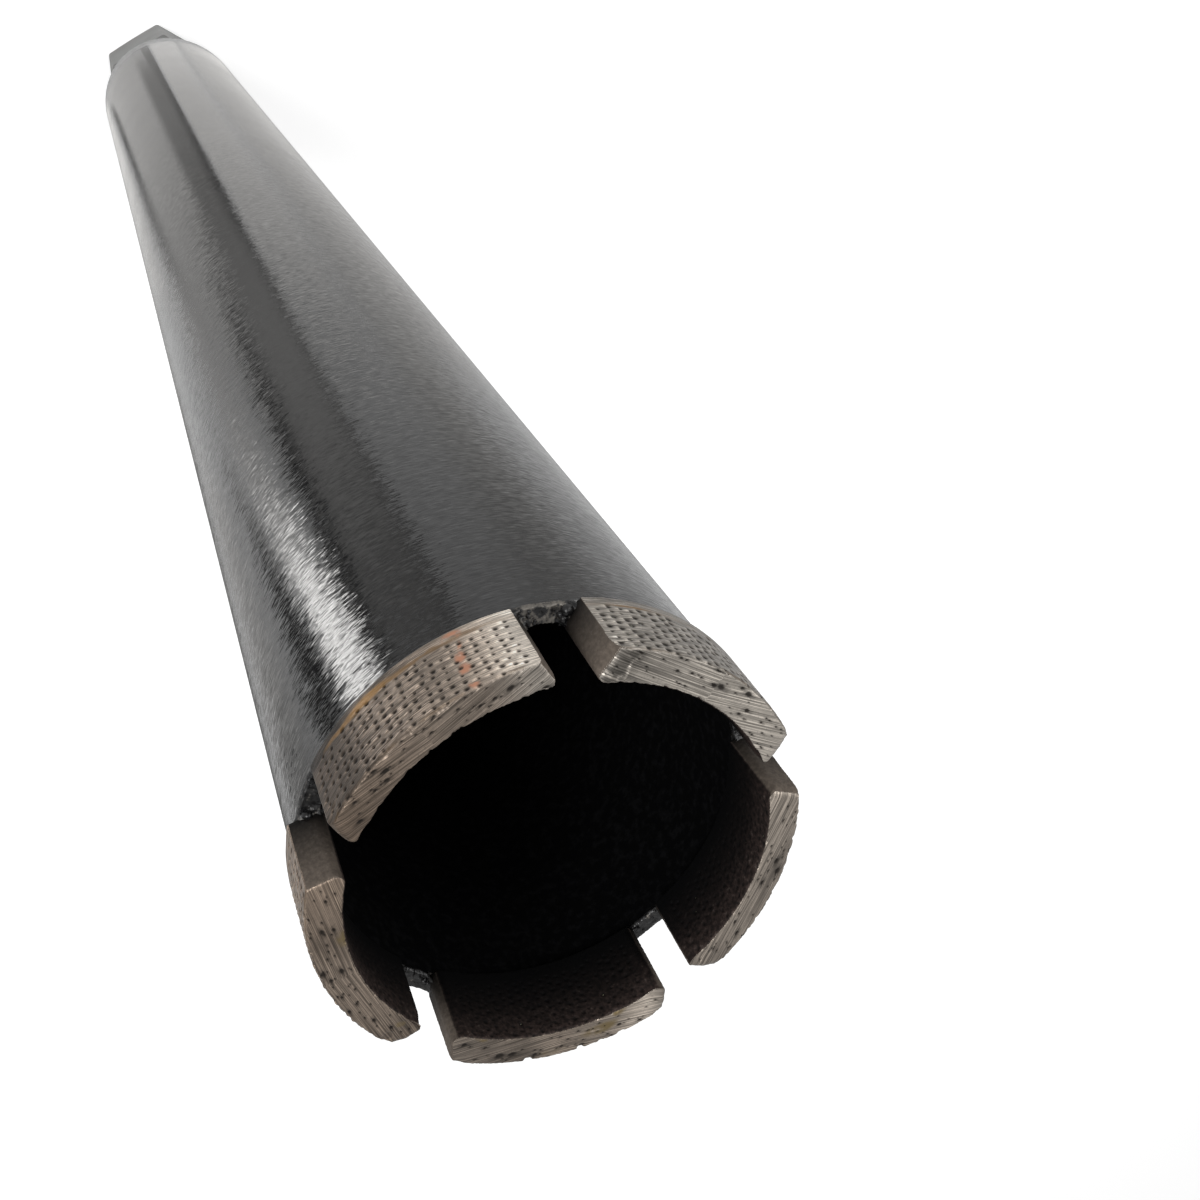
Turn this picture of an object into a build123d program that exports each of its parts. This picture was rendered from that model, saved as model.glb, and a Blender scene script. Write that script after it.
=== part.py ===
from build123d import *
import math
import os

# Wet diamond core bit: a thin-walled steel barrel, a crown of sintered diamond
# segments soldered to its mouth, and a hexagon hub with the drive thread.
# It stands on the hub's end face. The origin is the centre of that face and +Z
# runs along the axis to the mouth, where the segments cut. Millimetres.

# ---- barrel ----
TUBE_OD = 51.2          # outside diameter of the barrel
TUBE_WALL = 2.2         # wall thickness
TUBE_LENGTH = 450.0     # from the hub's shoulder to the mouth rim
RIM_BREAK = 0.25        # broken edges of the mouth rim

# ---- crown of segments ----
SEG_COUNT = 5
SEG_FIRST = 44.6        # degrees, middle of segment 1, the others follow clockwise
SEG_CHORD = 24.7        # length between the parallel end faces
SEG_HEIGHT = 10.0       # working height, from the solder to the cutting face
SIDE_OUT = 0.85         # how far new segments stand outside the barrel wall
SIDE_IN = 0.9           # how far they stand inside it
SEG_CORNER_IN = 1.15    # upright corners on the core side, seen in plan
SEG_CORNER_OUT = 0.25   # upright corners on the outer side, seen in plan
SEG_EDGE = 0.2          # worn edge round the cutting face
# What use took off each segment: the rounding of its front corners, clockwise end
# first, and the wear of its outer side, at the foot and at the front.
SEG_NOSES = [(0.7, 1.0), (1.2, 1.8), (1.2, 1.2), (0.3, 0.6), (0.5, 0.9)]
SEG_WEARS = [(0.45, 0.55), (0.0, 0.1), (0.0, 0.25), (0.0, 0.15), (0.0, 0.2)]
# How far each was soldered off its even place along the rim, in degrees about the
# axis, and out of square with its seat, in degrees about its own middle.
SEG_SLIDES = [0.1, -0.3, -0.3, 0.4, -0.3]
SEG_SKEWS = [0.0, 0.9, -0.3, -0.45, 0.4]

# ---- solder ----
SOLDER = 0.15           # thickness of the seam under a segment
FILLET_DOWN = 0.15      # squeezed-out fillet below the rim's broken edge
FILLET_OUT = 0.3        # and out under the segment's overhang

# ---- hub ----
HEX_AF = 41.0           # across flats
HEX_LENGTH = 38.0
HEX_TURN = 8.4          # degrees, direction of one hexagon corner
HEX_BEVEL = 30.0        # degrees, bevel that trims the hexagon's corners
COLLAR_D = 43.0         # turned collar between hexagon and shoulder
COLLAR_LENGTH = 22.0
SHOULDER_LENGTH = 6.0   # cone from the collar out to the barrel
SPIGOT_LENGTH = 12.0    # inside the barrel
SPIGOT_GAP = 0.05       # radial clearance of the spigot in the barrel
THREAD_MINOR_D = 28.2   # 1 1/4 inch 7 UNC female thread, at its crests
THREAD_MAJOR_D = 31.75
THREAD_DEPTH = 34.0
RELIEF_WIDTH = 4.0      # run-out groove behind the thread
RELIEF_GAP = 0.3        # depth of that groove past the thread's roots
MOUTH_BEVEL = 0.8       # bevel past the thread's roots at the mouth of the hub
WATERWAY_D = 24.0

OVERCUT = 1.0           # how far a cutting solid runs past what it cuts

# ---- derived places and radii ----
TUBE_R = TUBE_OD / 2
BORE_R = TUBE_R - TUBE_WALL
SEG_R_OUT = TUBE_R + SIDE_OUT
SEG_R_IN = BORE_R - SIDE_IN
Z_COLLAR = HEX_LENGTH
Z_SHOULDER = Z_COLLAR + COLLAR_LENGTH
Z_TUBE = Z_SHOULDER + SHOULDER_LENGTH
Z_RIM = Z_TUBE + TUBE_LENGTH
Z_SEG = Z_RIM + SOLDER


def ring(profile):
    """Turns a closed (radius, z) profile round the axis."""
    face = make_face(Polyline(*[(r, 0, z) for r, z in profile], close=True))
    return revolve(face, Axis.Z, 360)


def barrel():
    b = RIM_BREAK
    return ring([
        (BORE_R, Z_TUBE), (TUBE_R, Z_TUBE),
        (TUBE_R, Z_RIM - b), (TUBE_R - b, Z_RIM),
        (BORE_R + b, Z_RIM), (BORE_R, Z_RIM - b),
    ])


def hexagon():
    """The spanner hexagon, its corners trimmed by a bevel at both ends."""
    corner_r = HEX_AF / math.sqrt(3)
    bar = extrude(RegularPolygon(corner_r, 6, rotation=HEX_TURN), HEX_LENGTH)
    drop = (corner_r - HEX_AF / 2) * math.tan(math.radians(HEX_BEVEL))
    turned = ring([
        (0, 0), (HEX_AF / 2, 0), (corner_r, drop),
        (corner_r, HEX_LENGTH - drop), (HEX_AF / 2, HEX_LENGTH), (0, HEX_LENGTH),
    ])
    return bar & turned


def hub():
    spigot_r = BORE_R - SPIGOT_GAP
    z_end = Z_TUBE + SPIGOT_LENGTH
    turned = ring([
        (0, Z_COLLAR), (COLLAR_D / 2, Z_COLLAR), (COLLAR_D / 2, Z_SHOULDER),
        (TUBE_R, Z_TUBE), (spigot_r, Z_TUBE), (spigot_r, z_end), (0, z_end),
    ])
    minor, major = THREAD_MINOR_D / 2, THREAD_MAJOR_D / 2
    mouth = major + MOUTH_BEVEL
    relief = major + RELIEF_GAP
    z_relief = THREAD_DEPTH + RELIEF_WIDTH
    hole = ring([
        (0, -OVERCUT), (mouth, -OVERCUT), (mouth, 0), (minor, mouth - minor),
        (minor, THREAD_DEPTH), (relief, THREAD_DEPTH), (relief, z_relief),
        (WATERWAY_D / 2, z_relief), (WATERWAY_D / 2, z_end + OVERCUT),
        (0, z_end + OVERCUT),
    ])
    return hexagon() + turned - hole


def seat(index):
    """Turns what is drawn about +X to a segment's place round the rim."""
    slide = SEG_SLIDES[index % len(SEG_SLIDES)]
    return Rot(Z=SEG_FIRST - index * 360 / SEG_COUNT + slide)


def chord_window():
    """The strip between a segment's two parallel end planes, on the +X side."""
    return Rectangle(SEG_R_OUT + OVERCUT, SEG_CHORD, align=(Align.MIN, Align.CENTER))


def segment_plan():
    """Arc with parallel ends and rounded upright corners, seen along the axis."""
    arc = (Circle(SEG_R_OUT) - Circle(SEG_R_IN)) & chord_window()
    arc = fillet(arc.vertices().sort_by(Axis.X)[:2], SEG_CORNER_IN)
    by_radius = arc.vertices().sort_by(lambda v: math.hypot(v.X, v.Y))
    return fillet(by_radius[-2:], SEG_CORNER_OUT)


def nose_cutter(end, radius):
    """What rounding one front corner takes away; end is -1 or +1 along the chord."""
    y, z = end * SEG_CHORD / 2, SEG_HEIGHT
    y_in, y_out = y - end * radius, y + end * OVERCUT
    z_low, z_up = z - radius, z + OVERCUT
    leg = math.sqrt(0.5) * radius
    outline = Polyline((y_in, z), (y_in, z_up), (y_out, z_up), (y_out, z_low), (y, z_low))
    curve = ThreePointArc((y, z_low), (y_in + end * leg, z_low + leg), (y_in, z))
    return extrude(Plane.YZ * make_face(outline + curve), SEG_R_OUT + OVERCUT)


def wear_cutter(foot_r, front_r, side):
    """Ring that wears a curved side to these radii at its foot and front, and bevels
    its edge at the cutting face; side is -1 inside and +1 outside."""
    far = foot_r + side * OVERCUT
    slope_r = foot_r + (foot_r - front_r) * OVERCUT / SEG_HEIGHT
    return ring([
        (slope_r, -OVERCUT), (foot_r, 0), (front_r, SEG_HEIGHT - SEG_EDGE),
        (front_r - side * (SEG_EDGE + OVERCUT), SEG_HEIGHT + OVERCUT),
        (far, SEG_HEIGHT + OVERCUT), (far, -OVERCUT),
    ])


def segment(index):
    """One sintered segment: its plan is extruded, then worn at noses and edges."""
    nose_back, nose_front = SEG_NOSES[index % len(SEG_NOSES)]
    wear_foot, wear_front = SEG_WEARS[index % len(SEG_WEARS)]
    body = extrude(segment_plan(), SEG_HEIGHT)
    body -= wear_cutter(SEG_R_OUT - wear_foot, SEG_R_OUT - wear_front, 1)
    body -= wear_cutter(SEG_R_IN, SEG_R_IN, -1)
    body -= nose_cutter(-1, nose_back)
    body -= nose_cutter(1, nose_front)
    middle = (SEG_R_IN + SEG_R_OUT) / 2
    skew = SEG_SKEWS[index % len(SEG_SKEWS)]
    body = Pos(middle) * Rot(Z=skew) * Pos(-middle) * body
    return Pos(Z=Z_SEG) * seat(index) * body


def solder(index):
    """Seam on the rim under a segment, squeezed out to a fillet on both sides."""
    low = -RIM_BREAK - FILLET_DOWN
    seam = ring([
        (BORE_R, low), (BORE_R, -RIM_BREAK), (BORE_R + RIM_BREAK, 0),
        (TUBE_R - RIM_BREAK, 0), (TUBE_R, -RIM_BREAK), (TUBE_R, low),
        (TUBE_R + FILLET_OUT, SOLDER), (BORE_R - FILLET_OUT, SOLDER),
    ])
    window = Pos(Z=low) * extrude(chord_window(), SOLDER - low)
    return Pos(Z=Z_RIM) * seat(index) * (seam & window)


PIECES = {"barrel": barrel(), "hub": hub()}
for index in range(SEG_COUNT):
    PIECES[f"segment_{index + 1}"] = segment(index)
    PIECES[f"solder_{index + 1}"] = solder(index)

os.makedirs("parts", exist_ok=True)
for name, piece in PIECES.items():
    export_step(piece, f"parts/{name}.step")
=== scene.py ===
import math

import bmesh
import bpy
import numpy as np
from bpy.props import FloatProperty, FloatVectorProperty, IntProperty, PointerProperty
from mathutils import Matrix, Vector


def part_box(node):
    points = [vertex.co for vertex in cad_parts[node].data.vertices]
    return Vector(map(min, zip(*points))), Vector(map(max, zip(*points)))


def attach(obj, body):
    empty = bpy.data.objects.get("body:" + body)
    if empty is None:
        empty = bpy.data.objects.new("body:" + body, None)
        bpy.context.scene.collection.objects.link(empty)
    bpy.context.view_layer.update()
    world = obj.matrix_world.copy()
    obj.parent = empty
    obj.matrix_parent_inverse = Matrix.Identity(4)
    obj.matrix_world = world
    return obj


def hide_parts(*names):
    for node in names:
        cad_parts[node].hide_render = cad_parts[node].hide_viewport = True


bl_info = {
    "name": "Diamond core bit finishes",
    "version": (1, 0, 0),
    "blender": (4, 5, 0),
    "location": "3D View > Sidebar > Core Bit",
    "description": "Paint, sintered segments, grit, solder and studio for a wet diamond core bit",
    "category": "Object",
}

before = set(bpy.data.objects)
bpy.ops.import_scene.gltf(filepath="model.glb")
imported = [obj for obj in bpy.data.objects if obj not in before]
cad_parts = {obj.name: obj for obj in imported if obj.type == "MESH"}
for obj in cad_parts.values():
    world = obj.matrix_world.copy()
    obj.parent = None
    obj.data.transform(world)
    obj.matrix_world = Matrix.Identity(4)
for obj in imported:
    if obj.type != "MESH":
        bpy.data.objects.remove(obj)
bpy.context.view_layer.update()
SEGMENTS = sorted(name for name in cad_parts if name.startswith("segment_"))
SOLDERS = sorted(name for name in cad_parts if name.startswith("solder_"))
MM = 0.001


def radii_of(node):
    """Smallest and largest distance from the axis of a node's corners, in millimetres."""
    reach = [math.hypot(v.co.x, v.co.y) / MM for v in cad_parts[node].data.vertices]
    return min(reach), max(reach)


# ---- sizes read off the solid model, in millimetres ----
BORE_R, BARREL_R = radii_of("barrel")
CORE_R, CUT_R = radii_of("segment_1")
BARREL_Z, RIM_Z = (corner.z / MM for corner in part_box("barrel"))
FOOT_Z, TOP_Z = (corner.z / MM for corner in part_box("segment_1"))
HUB_END_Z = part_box("hub")[1].z / MM
SEAT_STEP = 360.0 / len(SEGMENTS)
SEGMENT_CHORD = 24.7            # between the parallel end faces
SEGMENT_TALL = TOP_Z - FOOT_Z
HALF_ARC = math.asin(SEGMENT_CHORD / 2 / CUT_R) * CUT_R    # half a segment's outer side


class Seat:
    """Where one segment stands on the rim, and how far its worn outer side reaches."""

    def __init__(self, number):
        places = [v.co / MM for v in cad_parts[SEGMENTS[number]].data.vertices]
        nominal = math.atan2(sum(p.y for p in places), sum(p.x for p in places))
        foot = [p for p in places if p.z < FOOT_Z + 0.05]
        front = [p for p in places if p.z < TOP_Z - 0.1 and p.z > TOP_Z - 2.5]
        aside = [math.remainder(math.atan2(p.y, p.x) - nominal, math.tau) for p in foot]
        self.turn = nominal + (min(aside) + max(aside)) / 2
        self.foot_r = max(math.hypot(p.x, p.y) for p in foot)
        self.front_r = max(math.hypot(p.x, p.y) for p in front)

    def outer_r(self, up):
        """Radius of the outer side at a height above the foot."""
        return self.foot_r + (self.front_r - self.foot_r) * up / SEGMENT_TALL


SEATS = [Seat(number) for number in range(len(SEGMENTS))]


# ======================================================================
# Settings
# ======================================================================

def length(name, description, millimetres):
    return FloatProperty(name=name, description=description, subtype="DISTANCE",
                         default=millimetres * MM, precision=6)


def tint(name, description, value):
    return FloatVectorProperty(name=name, description=description, subtype="COLOR",
                               size=3, min=0, max=1, default=value)


def amount(name, description, value, **limits):
    return FloatProperty(name=name, description=description, default=value, **limits)


def whole(name, description, value):
    return IntProperty(name=name, description=description, default=value)


class BarrelSettings(bpy.types.PropertyGroup):
    """Barrel"""
    paint_colour: tint("Paint colour", "Black paint outside the tube", (0.006, 0.0062, 0.007))
    bore_colour: tint("Bore colour", "Unlit black coat inside the tube", (0.001, 0.001, 0.0012))
    mark_width: length("Mark width", "Width of one turning mark along the axis", 0.085)
    mark_length: length("Mark length", "Length of a turning mark round the tube", 1.3)
    mark_tilt: amount("Mark tilt", "How far the marks turn the surface", 0.52, min=0, max=1)
    rim_break: length("Rim break", "Rounding of the mouth's two edges", 0.25)


class HubSettings(bpy.types.PropertyGroup):
    """Hub"""
    across_flats: length("Across flats", "Width of the spanner hexagon", 41.0)
    hexagon_length: length("Hexagon length", "Height of the spanner hexagon", 38.0)
    collar_diameter: length("Collar diameter", "Turned collar above the hexagon", 43.0)
    collar_top: length("Collar top", "Height where the shoulder cone starts", 60.0)
    thread_pitch: length("Thread pitch", "Pitch of the 7 UNC thread", 25.4 / 7)
    thread_minor: length("Thread crest", "Diameter at the thread's crests", 28.2)
    thread_major: length("Thread root", "Diameter at the thread's roots", 31.75)
    thread_depth: length("Thread depth", "Length of the thread from the end face", 34.0)
    waterway: length("Waterway", "Diameter of the water passage", 24.0)
    thread_colour: tint("Thread colour", "Bare oiled steel of the thread", (0.19, 0.185, 0.18))


class SegmentSettings(bpy.types.PropertyGroup):
    """Segments"""
    metal_colour: tint("Matrix colour", "Ground outer and cutting faces", (0.225, 0.210, 0.188))
    core_colour: tint("Core side colour", "Darkened faces on the core side", (0.045, 0.031, 0.027))
    end_colour: tint("End face colour", "Granular parallel end faces", (0.120, 0.098, 0.080))
    heat_colour: tint("Heat tint", "Golden brown line above the foot", (0.21, 0.115, 0.035))
    # Painted reflection: an orange thing mirrored in segment 1's outer side, laid down as a stripe
    # of colour.
    copper_colour: tint("Orange reflection", "Painted reflection of an orange thing on one segment", (0.55, 0.27, 0.17))
    ochre_colour: tint("Ochre stain", "Stains left by drilling slurry", (0.20, 0.15, 0.075))
    voxel: length("Mesh fineness", "Edge length of the fine mesh", 0.11)
    pit_pitch_round: length("Grit pitch round", "Distance between columns of grit", 1.17)
    pit_pitch_up: length("Grit pitch up", "Distance between rows of grit", 1.07)
    pit_radius: length("Pit radius", "Radius of one grit pit", 0.25)
    pit_depth: length("Pit depth", "Depth of one grit pit", 0.14)
    foot_height: length("Foot layer", "Layer without grit at the solder", 1.35)
    seed: whole("Seed", "Seed of pits, chips and streaks", 11)


class GritSettings(bpy.types.PropertyGroup):
    """Grit"""
    size: length("Grain size", "Diameter of one diamond grain", 0.30)
    share: amount("Filled pits", "Share of pits that hold a grain", 0.5, min=0, max=1)
    colour: tint("Grain colour", "Synthetic diamond", (0.20, 0.19, 0.13))
    seed: whole("Seed", "Seed of the grains' turns", 5)


class SolderSettings(bpy.types.PropertyGroup):
    """Solder"""
    metal_colour: tint("Solder colour", "Bare solder", (0.20, 0.185, 0.165))
    film: length("Film thickness", "Solder left on the rim between segments", 0.30)
    beads: whole("Beads per slot", "Spatter beads in one slot", 26)
    bead_size: length("Bead size", "Diameter of the largest bead", 0.5)
    seed: whole("Seed", "Seed of film and beads", 4)


class StageSettings(bpy.types.PropertyGroup):
    """Stage"""
    floor_colour: tint("Floor colour", "Pale floor", (0.80, 0.80, 0.80))
    lens: amount("Lens", "Focal length on a 36 mm frame", 38.94)
    eye_offset: FloatVectorProperty(
        name="Eye", description="Camera place from the middle of the cutting mouth",
        subtype="TRANSLATION", size=3, default=(0.08165, 0.04913, 0.0940))
    sky: amount("Sky", "Strength of the even light", 0.5)
    key: amount("Key lamp", "Power of the key lamp in watts", 15)
    fill: amount("Fill lamp", "Power of the fill lamp in watts", 9)


SETTINGS = {
    "core_bit_barrel": BarrelSettings,
    "core_bit_hub": HubSettings,
    "core_bit_segments": SegmentSettings,
    "core_bit_grit": GritSettings,
    "core_bit_solder": SolderSettings,
    "core_bit_stage": StageSettings,
}


# ======================================================================
# Shader graph helpers
# ======================================================================

def is_socket(value):
    return isinstance(value, bpy.types.NodeSocket)


class Graph:
    """Lays out one node tree with few words."""

    def __init__(self, tree):
        self.tree = tree

    def node(self, kind, inputs=None, **settings):
        made = self.tree.nodes.new(kind)
        for name, value in settings.items():
            setattr(made, name, value)
        for key, value in (inputs or {}).items():
            self.feed(made.inputs[key], value)
        return made

    def feed(self, socket, value):
        if is_socket(value):
            self.tree.links.new(value, socket)
        elif socket.type == "RGBA":
            socket.default_value = (*value[:3], 1.0)
        else:
            socket.default_value = value

    def setter(self, node):
        """What feeds a value or a link to one of a node's inputs."""
        return lambda name, value: self.feed(node.inputs[name], value)

    def group(self, build, **inputs):
        """A shared group's outputs, the group being built the first time it is asked for."""
        tree = bpy.data.node_groups.get(build.__name__) or build(build.__name__)
        return self.node("ShaderNodeGroup", inputs, node_tree=tree).outputs

    def math(self, operation, *values):
        return self.node("ShaderNodeMath", dict(enumerate(values)), operation=operation).outputs[0]

    def times(self, *values):
        product = values[0]
        for value in values[1:]:
            product = self.math("MULTIPLY", product, value)
        return product

    def plus(self, first, *rest):
        total = first
        for value in rest:
            total = self.math("ADD", total, value)
        return total

    def rise(self, value, low, high, to_low=0.0, to_high=1.0):
        """Smooth step from low to high."""
        return self.node("ShaderNodeMapRange", {
            "Value": value, "From Min": low, "From Max": high, "To Min": to_low,
            "To Max": to_high}, interpolation_type="SMOOTHSTEP").outputs["Result"]

    def mix(self, factor, first, second, blend="MIX"):
        """Colour mix."""
        return self.node("ShaderNodeMix", {0: factor, 6: first, 7: second},
                         data_type="RGBA", blend_type=blend).outputs[2]

    def vector(self, x, y, z):
        return self.node("ShaderNodeCombineXYZ", {"X": x, "Y": y, "Z": z}).outputs[0]

    def added(self, first, second):
        return self.node("ShaderNodeVectorMath", {0: first, 1: second}, operation="ADD").outputs[0]

    def scaled(self, vector, factor):
        return self.node("ShaderNodeVectorMath", {0: vector, "Scale": factor},
                         operation="SCALE").outputs[0]

    def place(self):
        return self.node("ShaderNodeTexCoord").outputs["Object"]

    def parts(self, vector):
        return self.node("ShaderNodeSeparateXYZ", {"Vector": vector}).outputs

    def noise(self, vector, scale, detail, roughness=0.5):
        """Noise from 0 to 1; its node's Color output holds three of them."""
        return self.node("ShaderNodeTexNoise", {
            "Vector": vector, "Scale": scale, "Detail": detail,
            "Roughness": roughness}).outputs["Fac"]

    def attribute(self, name):
        return self.node("ShaderNodeAttribute", attribute_name=name).outputs["Fac"]

    def turned(self, tilt, strength):
        """The surface's normal, turned by a tilt vector in the part's own axes."""
        normal = self.node("ShaderNodeNewGeometry").outputs["Normal"]
        leaning = self.added(normal, self.scaled(tilt, strength))
        return self.node("ShaderNodeVectorMath", {0: leaning}, operation="NORMALIZE").outputs[0]

    def bump(self, height, distance, normal=None):
        inputs = {"Height": height, "Distance": distance}
        if normal is not None:
            inputs["Normal"] = normal
        return self.node("ShaderNodeBump", inputs).outputs["Normal"]


def new_group(name, inputs, outputs, normals=()):
    """An empty shader group, its graph, what it is given, and what sets its outputs. Inputs
    and outputs are numbers, apart from the outputs that are normals."""
    group = bpy.data.node_groups.new(name, "ShaderNodeTree")
    for title, default in inputs.items():
        socket = group.interface.new_socket(
            name=title, in_out="INPUT", socket_type="NodeSocketFloat")
        socket.default_value = default
    for titles, kind in ((outputs, "NodeSocketFloat"), (normals, "NodeSocketVector")):
        for title in titles:
            group.interface.new_socket(name=title, in_out="OUTPUT", socket_type=kind)
    graph = Graph(group)
    given = graph.node("NodeGroupInput").outputs
    return group, graph, given, graph.setter(graph.node("NodeGroupOutput"))


def around_axis(name):
    """Millimetres round the axis at the barrel's radius, up the axis, and out from it."""
    group, g, _, give = new_group(name, {}, ("Round", "Up", "Out"))
    x, y, z = (g.times(part, 1 / MM) for part in g.parts(g.place()))
    give("Round", g.times(g.math("ARCTAN2", y, x), BARREL_R))
    give("Up", z)
    give("Out", g.math("SQRT", g.plus(g.times(x, x), g.times(y, y))))
    return group


# The turning marks are three noises laid over each other. Each row: its share of the slant,
# how fine it is beside the first, and its strength.
MARK_LAYERS = ((1, 1.0, 0.65), (-0.45, 0.75, 0.4), (0.3, 0.3, 0.06))


def turning_marks(name):
    """Fine marks that run round the axis, in millimetres of Length and Width: their height,
    where they are cut rough, a fine grain, clouds, and the normal as far as they Turn it."""
    group, g, given, give = new_group(
        name, {"Length": 1.6, "Width": 0.17, "Slant": 0.2, "Turn": 0.0},
        ("Height", "Rough", "Grain", "Cloud"), ("Normal",))
    axis = g.group(around_axis)
    x, y, _ = (g.times(part, 1 / MM) for part in g.parts(g.place()))
    slant = g.times(axis["Round"], given["Slant"])
    heights, tilt = [], None
    for sign, finer, share in MARK_LAYERS:
        up = g.plus(axis["Up"], g.times(slant, sign))
        long = g.times(given["Length"], 1 / finer)
        spot = g.vector(g.math("DIVIDE", x, long), g.math("DIVIDE", y, long),
                        g.times(g.math("DIVIDE", up, given["Width"]), finer * 0.5))
        rough = g.noise(spot, 1.0, 1.5, 0.6)
        heights.append(g.times(rough, share))
        level = g.node("ShaderNodeVectorMath", {0: rough.node.outputs["Color"], 1: (0.5,) * 3},
                       operation="SUBTRACT").outputs[0]
        lean = g.scaled(level, share)
        tilt = lean if tilt is None else g.added(tilt, lean)
    height = g.plus(*heights[:2])
    grain = g.noise(g.place(), 3600.0, 1.5, 0.5)
    give("Height", height)
    give("Rough", g.rise(g.plus(height, g.times(grain, 0.25)), 0.58, 0.68))
    give("Grain", grain)
    give("Cloud", g.noise(g.place(), 45.0, 3.0, 0.55))
    give("Normal", g.turned(tilt, given["Turn"]))
    return group


def ground_streaks(name):
    """Streaks along a face's own grain map, and a fine speckle, each from 0 to 1."""
    group, g, given, give = new_group(
        name, {"Length": 3.0, "Width": 0.12, "Seed": 0.0}, ("Streaks", "Speckle"))
    grain = g.parts(g.node("ShaderNodeUVMap", uv_map="grain").outputs["UV"])
    spot = g.vector(g.math("DIVIDE", grain["X"], given["Length"]),
                    g.math("DIVIDE", grain["Y"], given["Width"]), given["Seed"])
    give("Streaks", g.noise(spot, 1.0, 3.0, 0.6))
    give("Speckle", g.noise(g.place(), 4200.0, 2.0, 0.6))
    return group


def cleared(owner):
    """The empty graph of a material or a world."""
    owner.use_nodes = True
    owner.node_tree.nodes.clear()
    return Graph(owner.node_tree)


def new_material(name):
    """A material, its graph, and what sets an input of its surface."""
    made = bpy.data.materials.new(name)
    graph = cleared(made)
    shader = graph.node("ShaderNodeBsdfPrincipled")
    graph.node("ShaderNodeOutputMaterial", {"Surface": shader.outputs["BSDF"]})
    return made, graph, graph.setter(shader)


# ======================================================================
# Object and mesh helpers
# ======================================================================

def add_object(name, data):
    """A new object in the scene."""
    made = bpy.data.objects.new(name, data)
    bpy.context.scene.collection.objects.link(made)
    return made


def dress(obj, material):
    """Gives an object this material in place of its own."""
    obj.data.materials.clear()
    obj.data.materials.append(material)


def seat_piece(name, mesh, materials, replaces=None):
    """A finished mesh as a piece that rides on the bit."""
    piece = add_object(name, mesh)
    for material in materials:
        mesh.materials.append(material)
    if replaces:
        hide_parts(replaces)
    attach(piece, "root")


def settled_mesh(obj):
    """The mesh that an object's modifiers make of it; the object itself goes."""
    made = bpy.data.meshes.new_from_object(
        obj.evaluated_get(bpy.context.evaluated_depsgraph_get()))
    bpy.data.objects.remove(obj)
    return made


def raw_mesh(name, points, faces):
    """A mesh from points in millimetres."""
    mesh = bpy.data.meshes.new(name)
    mesh.from_pydata([Vector(p) * MM for p in points], [], faces)
    return mesh


def mend_mesh(mesh, nearest, face_out=False):
    """Merges vertices closer than this and, if asked, turns every face outwards."""
    work = bmesh.new()
    work.from_mesh(mesh)
    bmesh.ops.remove_doubles(work, verts=work.verts, dist=nearest)
    if face_out:
        bmesh.ops.recalc_face_normals(work, faces=work.faces)
    work.to_mesh(mesh)
    work.free()


def read_vectors(items, name):
    flat = np.empty(len(items) * 3, np.float32)
    items.foreach_get(name, flat)
    return flat.reshape(-1, 3).astype(float)


def put_attribute(mesh, name, values):
    layer = mesh.attributes.new(name, "FLOAT", "POINT")
    layer.data.foreach_set("value", np.asarray(values, np.float32))


def polar(radius, angle, height):
    return radius * math.cos(angle), radius * math.sin(angle), height


# ======================================================================
# Materials
# ======================================================================

# Chips in the paint near the mouth: degrees round, millimetres below the mouth,
# length round and height along the axis.
PAINT_CHIPS = (
    (84.6, 17.6, 0.8, 0.5), (87.0, 19.9, 0.5, 0.3), (79.6, 16.7, 0.9, 0.5),
    (81.9, 16.0, 0.7, 0.4), (86.2, 14.4, 0.9, 0.5), (87.5, 12.9, 0.5, 0.3),
    (84.0, 19.2, 0.5, 0.3), (80.9, 14.6, 0.5, 0.3), (83.3, 15.0, 0.5, 0.4),
    (78.6, 15.4, 0.6, 0.3), (85.2, 12.4, 0.5, 0.3),
)


def chip_mask(g, axis):
    """1 in the paint's chips."""
    total = None
    for degrees, below, wide, tall in PAINT_CHIPS:
        dx = g.times(g.plus(axis["Round"], -math.radians(degrees) * BARREL_R), 2 / wide)
        dy = g.times(g.plus(axis["Up"], below - TOP_Z), 2 / tall)
        near = g.rise(g.plus(g.times(dx, dx), g.times(dy, dy)), 1.6, 0.5)
        total = near if total is None else g.math("MAXIMUM", total, near)
    return total


def black_paint(settings):
    """Semi-gloss black paint that lets the turning marks through."""
    made, g, surface = new_material("black_paint")
    axis = g.group(around_axis)
    deeper = g.rise(axis["Up"], 180.0, 440.0, 0.06, 1.0)
    marks = g.group(turning_marks, Length=settings.mark_length / MM,
                    Width=settings.mark_width / MM, Slant=0.06,
                    Turn=g.times(deeper, settings.mark_tilt))
    ragged = g.plus(axis["Up"], g.times(marks["Grain"], 0.5), g.times(marks["Height"], 0.5))
    scraped = g.rise(ragged, RIM_Z + 0.18, RIM_Z + 0.42)
    chips = chip_mask(g, axis)
    tone = g.mix(marks["Rough"], settings.paint_colour, (0.002, 0.002, 0.002))
    tone = g.mix(scraped, tone, (0.05, 0.045, 0.04))
    surface("Base Color", g.mix(chips, tone, (0.003, 0.003, 0.003)))
    gloss = g.plus(g.rise(marks["Cloud"], 0.35, 0.65, 0.03, 0.07), g.times(marks["Rough"], 0.10),
                   g.times(chips, 0.5), g.times(scraped, 0.3))
    surface("Roughness", gloss)
    surface("IOR", 1.5)
    surface("Normal", g.bump(g.times(chips, -1.0), 0.12 * MM, marks["Normal"]))
    return made


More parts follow.
